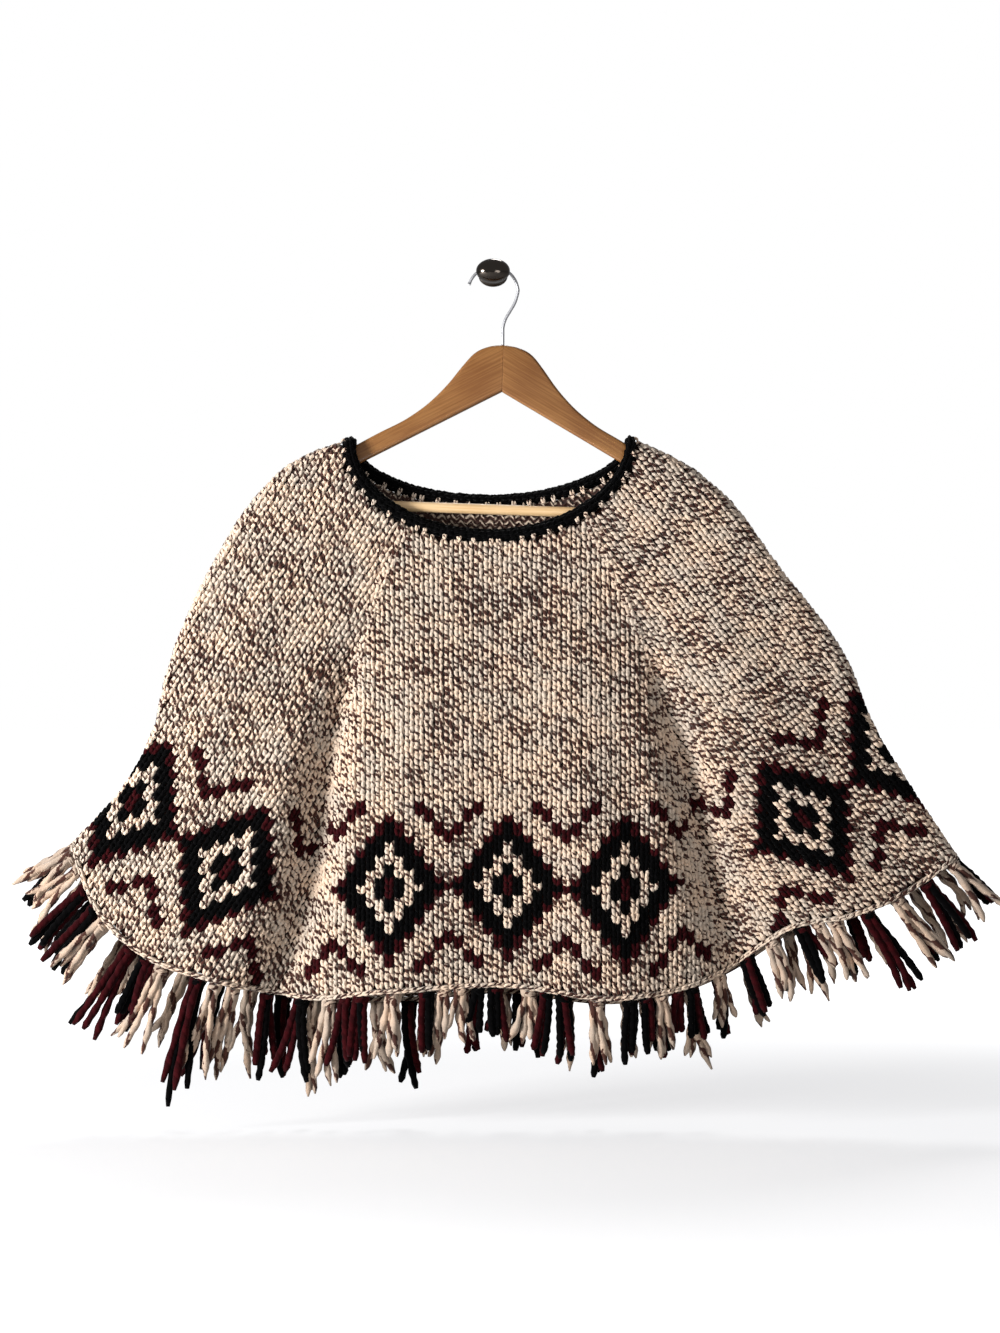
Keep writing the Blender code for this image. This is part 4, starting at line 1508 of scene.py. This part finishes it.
class KNIT_OT_hook_and_knob(bpy.types.Operator):
    """Bend the steel hook and turn the dark wall knob"""

    bl_idname = "poncho.hang_up"
    bl_label = "Bend the hook and turn the knob"

    def execute(self, context):
        steel = metal_material("polished steel wire", STEEL_COLOUR, 0.62)
        nickel = metal_material("dark nickel", NICKEL_COLOUR, 0.13)
        hook = self.hook(steel)
        put_on_root(hook)
        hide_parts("hook")
        knob = self.knob(nickel)
        put_on_root(knob)
        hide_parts("wall_knob")
        return {"FINISHED"}

    def hook(self, steel):
        route = [(STEM_X, STEM_FOOT_Z)] + [(bend.x, bend.z) for bend in SWAN_NECK]
        for degrees in (*range(0, HOOK_TIP_DEGREES, 10), HOOK_TIP_DEGREES):
            turn = math.radians(degrees)
            x, z = HOOK_RADIUS * math.cos(turn), HOOK_RADIUS * math.sin(turn)
            route.append((x, HOOK_CENTRE_Z + z))
        marks = np.arange(len(route), dtype=float)
        fine = np.linspace(0, len(route) - 1, 120)
        xs, zs = (smooth(marks, values, fine) for values in np.array(route).T)
        ahead_x, ahead_z = np.gradient(xs), np.gradient(zs)
        bm, rings = pulled_disc(14, 0, len(fine))
        for k, verts in enumerate(rings):
            from_tip = (len(rings) - 1 - k) / 7
            bead = max(0.0, 1 - from_tip)
            radius = WIRE_RADIUS + (HOOK_TIP_RADIUS - WIRE_RADIUS) * bead
            if from_tip < 0.3:
                radius *= math.sqrt(max(0.02, 1 - ((0.3 - from_tip) / 0.3) ** 2))
            side = Vector((ahead_z[k], 0, -ahead_x[k])).normalized()
            for vert in verts:
                across, deep = vert.co.x, vert.co.y
                vert.co = side * across * radius + Vector((0, deep * radius, 0))
                vert.co += Vector((xs[k], HANGER_Y, zs[k]))
        return from_bmesh("hook_wire", bm, [steel])

    def knob(self, nickel):
        marks = np.arange(len(KNOB_PROFILE), dtype=float)
        fine = np.linspace(0, len(KNOB_PROFILE) - 1, 60)
        radii = smooth(marks, column(KNOB_PROFILE, "radius"), fine)
        outs = smooth(marks, column(KNOB_PROFILE, "out"), fine)
        radii = np.clip(radii, 0.0, 0.0170)
        bm = bmesh.new()
        profile = [bm.verts.new((r, -max(o, 0), 0)) for r, o in zip(radii, outs)]
        for one, next_one in zip(profile, profile[1:]):
            bm.edges.new((one, next_one))
        spin_round(bm, (0, 1, 0), 48)
        rims = [edge for edge in bm.edges if edge.is_boundary]
        bmesh.ops.holes_fill(bm, edges=rims, sides=0)
        bmesh.ops.scale(bm, verts=bm.verts, vec=(1, 1, KNOB_FLATNESS))
        return from_bmesh("knob_turned", bm, [nickel])


# Each lamp's name, place, size and power, the spot they all face, and the room's own light
LAMPS = (
    ("key", (-2.5, -1.45, -0.25), 0.8, 140),
    ("fill", (0.9, -2.6, -0.5), 1.0, 11),
    ("rear", (0.3, 1.7, 1.9), 0.9, 24),
)
LIT_SPOT = (0, 0, -0.4)
ROOM_LIGHT = 0.255


class KNIT_OT_stage(bpy.types.Operator):
    """Set up the camera, the soft studio light and the pale floor"""

    bl_idname = "poncho.set_stage"
    bl_label = "Set the stage"

    def execute(self, context):
        scene = context.scene
        camera = bpy.data.cameras.new("camera")
        camera.sensor_fit = "VERTICAL"
        camera.sensor_height = 36
        camera.lens = 36 * CAMERA_DISTANCE / PICTURE_HEIGHT
        camera.clip_end = 100
        holder = bpy.data.objects.new("camera", camera)
        x, z = PICTURE_MIDDLE
        holder.location = (x, CAMERA_PLANE_Y - CAMERA_DISTANCE, z)
        holder.rotation_euler = (math.radians(90), 0, 0)
        scene.collection.objects.link(holder)
        scene.camera = holder

        bm = bmesh.new()
        bmesh.ops.create_grid(bm, x_segments=1, y_segments=1, size=14)
        bmesh.ops.translate(bm, verts=bm.verts, vec=(0, 6, FLOOR_Z))
        floor_mesh = bpy.data.meshes.new("floor")
        bm.to_mesh(floor_mesh)
        bm.free()
        finished("floor", floor_mesh, [self.pale_floor()])

        self.white_room(scene)
        for lamp in LAMPS:
            self.lamp(*lamp)
        scene.view_settings.view_transform = "Standard"
        return {"FINISHED"}

    def pale_floor(self):
        """A pale floor that fades into the white background away from the object."""
        material, tree, shader = new_material("pale floor")
        where = object_place(tree)
        mottle = noise(tree, where, 3.0)
        colour = mix_colours(tree, mottle, (0.58, 0.58, 0.58, 1), (0.62, 0.62, 0.62, 1))
        far = new_node(tree, "VectorMath", {0: where}, operation="LENGTH")
        fade = soft_step(tree, far.outputs["Value"], 0.95, 1.8)
        glow = mix_colours(tree, fade, (0.50, 0.50, 0.51, 1), (1, 1, 1, 1))
        seen = new_node(tree, "LightPath").outputs["Is Camera Ray"]
        glow = mix_colours(tree, seen, (0, 0, 0, 1), glow)
        look = {"Base Color": colour, "Roughness": 0.9, "Emission Color": glow}
        fill_in(tree, shader, {**look, "Emission Strength": 1.0})
        return material

    def white_room(self, scene):
        """A white background that lights the object more softly than it looks."""
        world = bpy.data.worlds.new("white room")
        scene.world = world
        world.use_nodes = True
        tree = world.node_tree
        seen = tree.nodes["Background"]
        fill_in(tree, seen, {"Color": (1, 1, 1, 1), "Strength": 1.0})
        light = {"Color": (0.97, 0.98, 1, 1), "Strength": ROOM_LIGHT}
        around = new_node(tree, "Background", light)
        by_camera = new_node(tree, "LightPath").outputs["Is Camera Ray"]
        inputs = {0: by_camera, 1: around.outputs[0], 2: seen.outputs[0]}
        mix = new_node(tree, "MixShader", inputs).outputs[0]
        fill_in(tree, tree.nodes["World Output"], {"Surface": mix})

    def lamp(self, name, spot, size, power):
        light = bpy.data.lights.new(name, "AREA")
        light.shape = "DISK"
        light.size = size
        light.energy = power
        holder = bpy.data.objects.new(name, light)
        holder.location = spot
        aim = Vector(LIT_SPOT) - Vector(spot)
        holder.rotation_euler = aim.to_track_quat("-Z", "Y").to_euler()
        bpy.context.scene.collection.objects.link(holder)


class KNIT_PT_panel(bpy.types.Panel):
    """The poncho's steps, in the order they are worked"""

    bl_label = "Knitted Poncho"
    bl_idname = "KNIT_PT_panel"
    bl_space_type = "VIEW_3D"
    bl_region_type = "UI"
    bl_category = "Poncho"

    def draw(self, context):
        layout = self.layout
        settings = context.scene.poncho
        for name in PonchoSettings.__annotations__:
            layout.prop(settings, name)
        for operator in OPERATORS:
            layout.operator(operator.bl_idname)


OPERATORS = (
    KNIT_OT_panels,
    KNIT_OT_neck_edge,
    KNIT_OT_tassels,
    KNIT_OT_hanger,
    KNIT_OT_hook_and_knob,
    KNIT_OT_stage,
)
CLASSES = (PonchoSettings, *OPERATORS, KNIT_PT_panel)


def register():
    for cls in CLASSES:
        bpy.utils.register_class(cls)
    bpy.types.Scene.poncho = PointerProperty(type=PonchoSettings)


def unregister():
    del bpy.types.Scene.poncho
    for cls in reversed(CLASSES):
        bpy.utils.unregister_class(cls)


def main():
    register()
    bpy.ops.poncho.knit_panels()
    bpy.ops.poncho.crochet_neck()
    bpy.ops.poncho.knot_tassels()
    bpy.ops.poncho.shape_hanger()
    bpy.ops.poncho.hang_up()
    bpy.ops.poncho.set_stage()


if __name__ == "__main__":
    main()
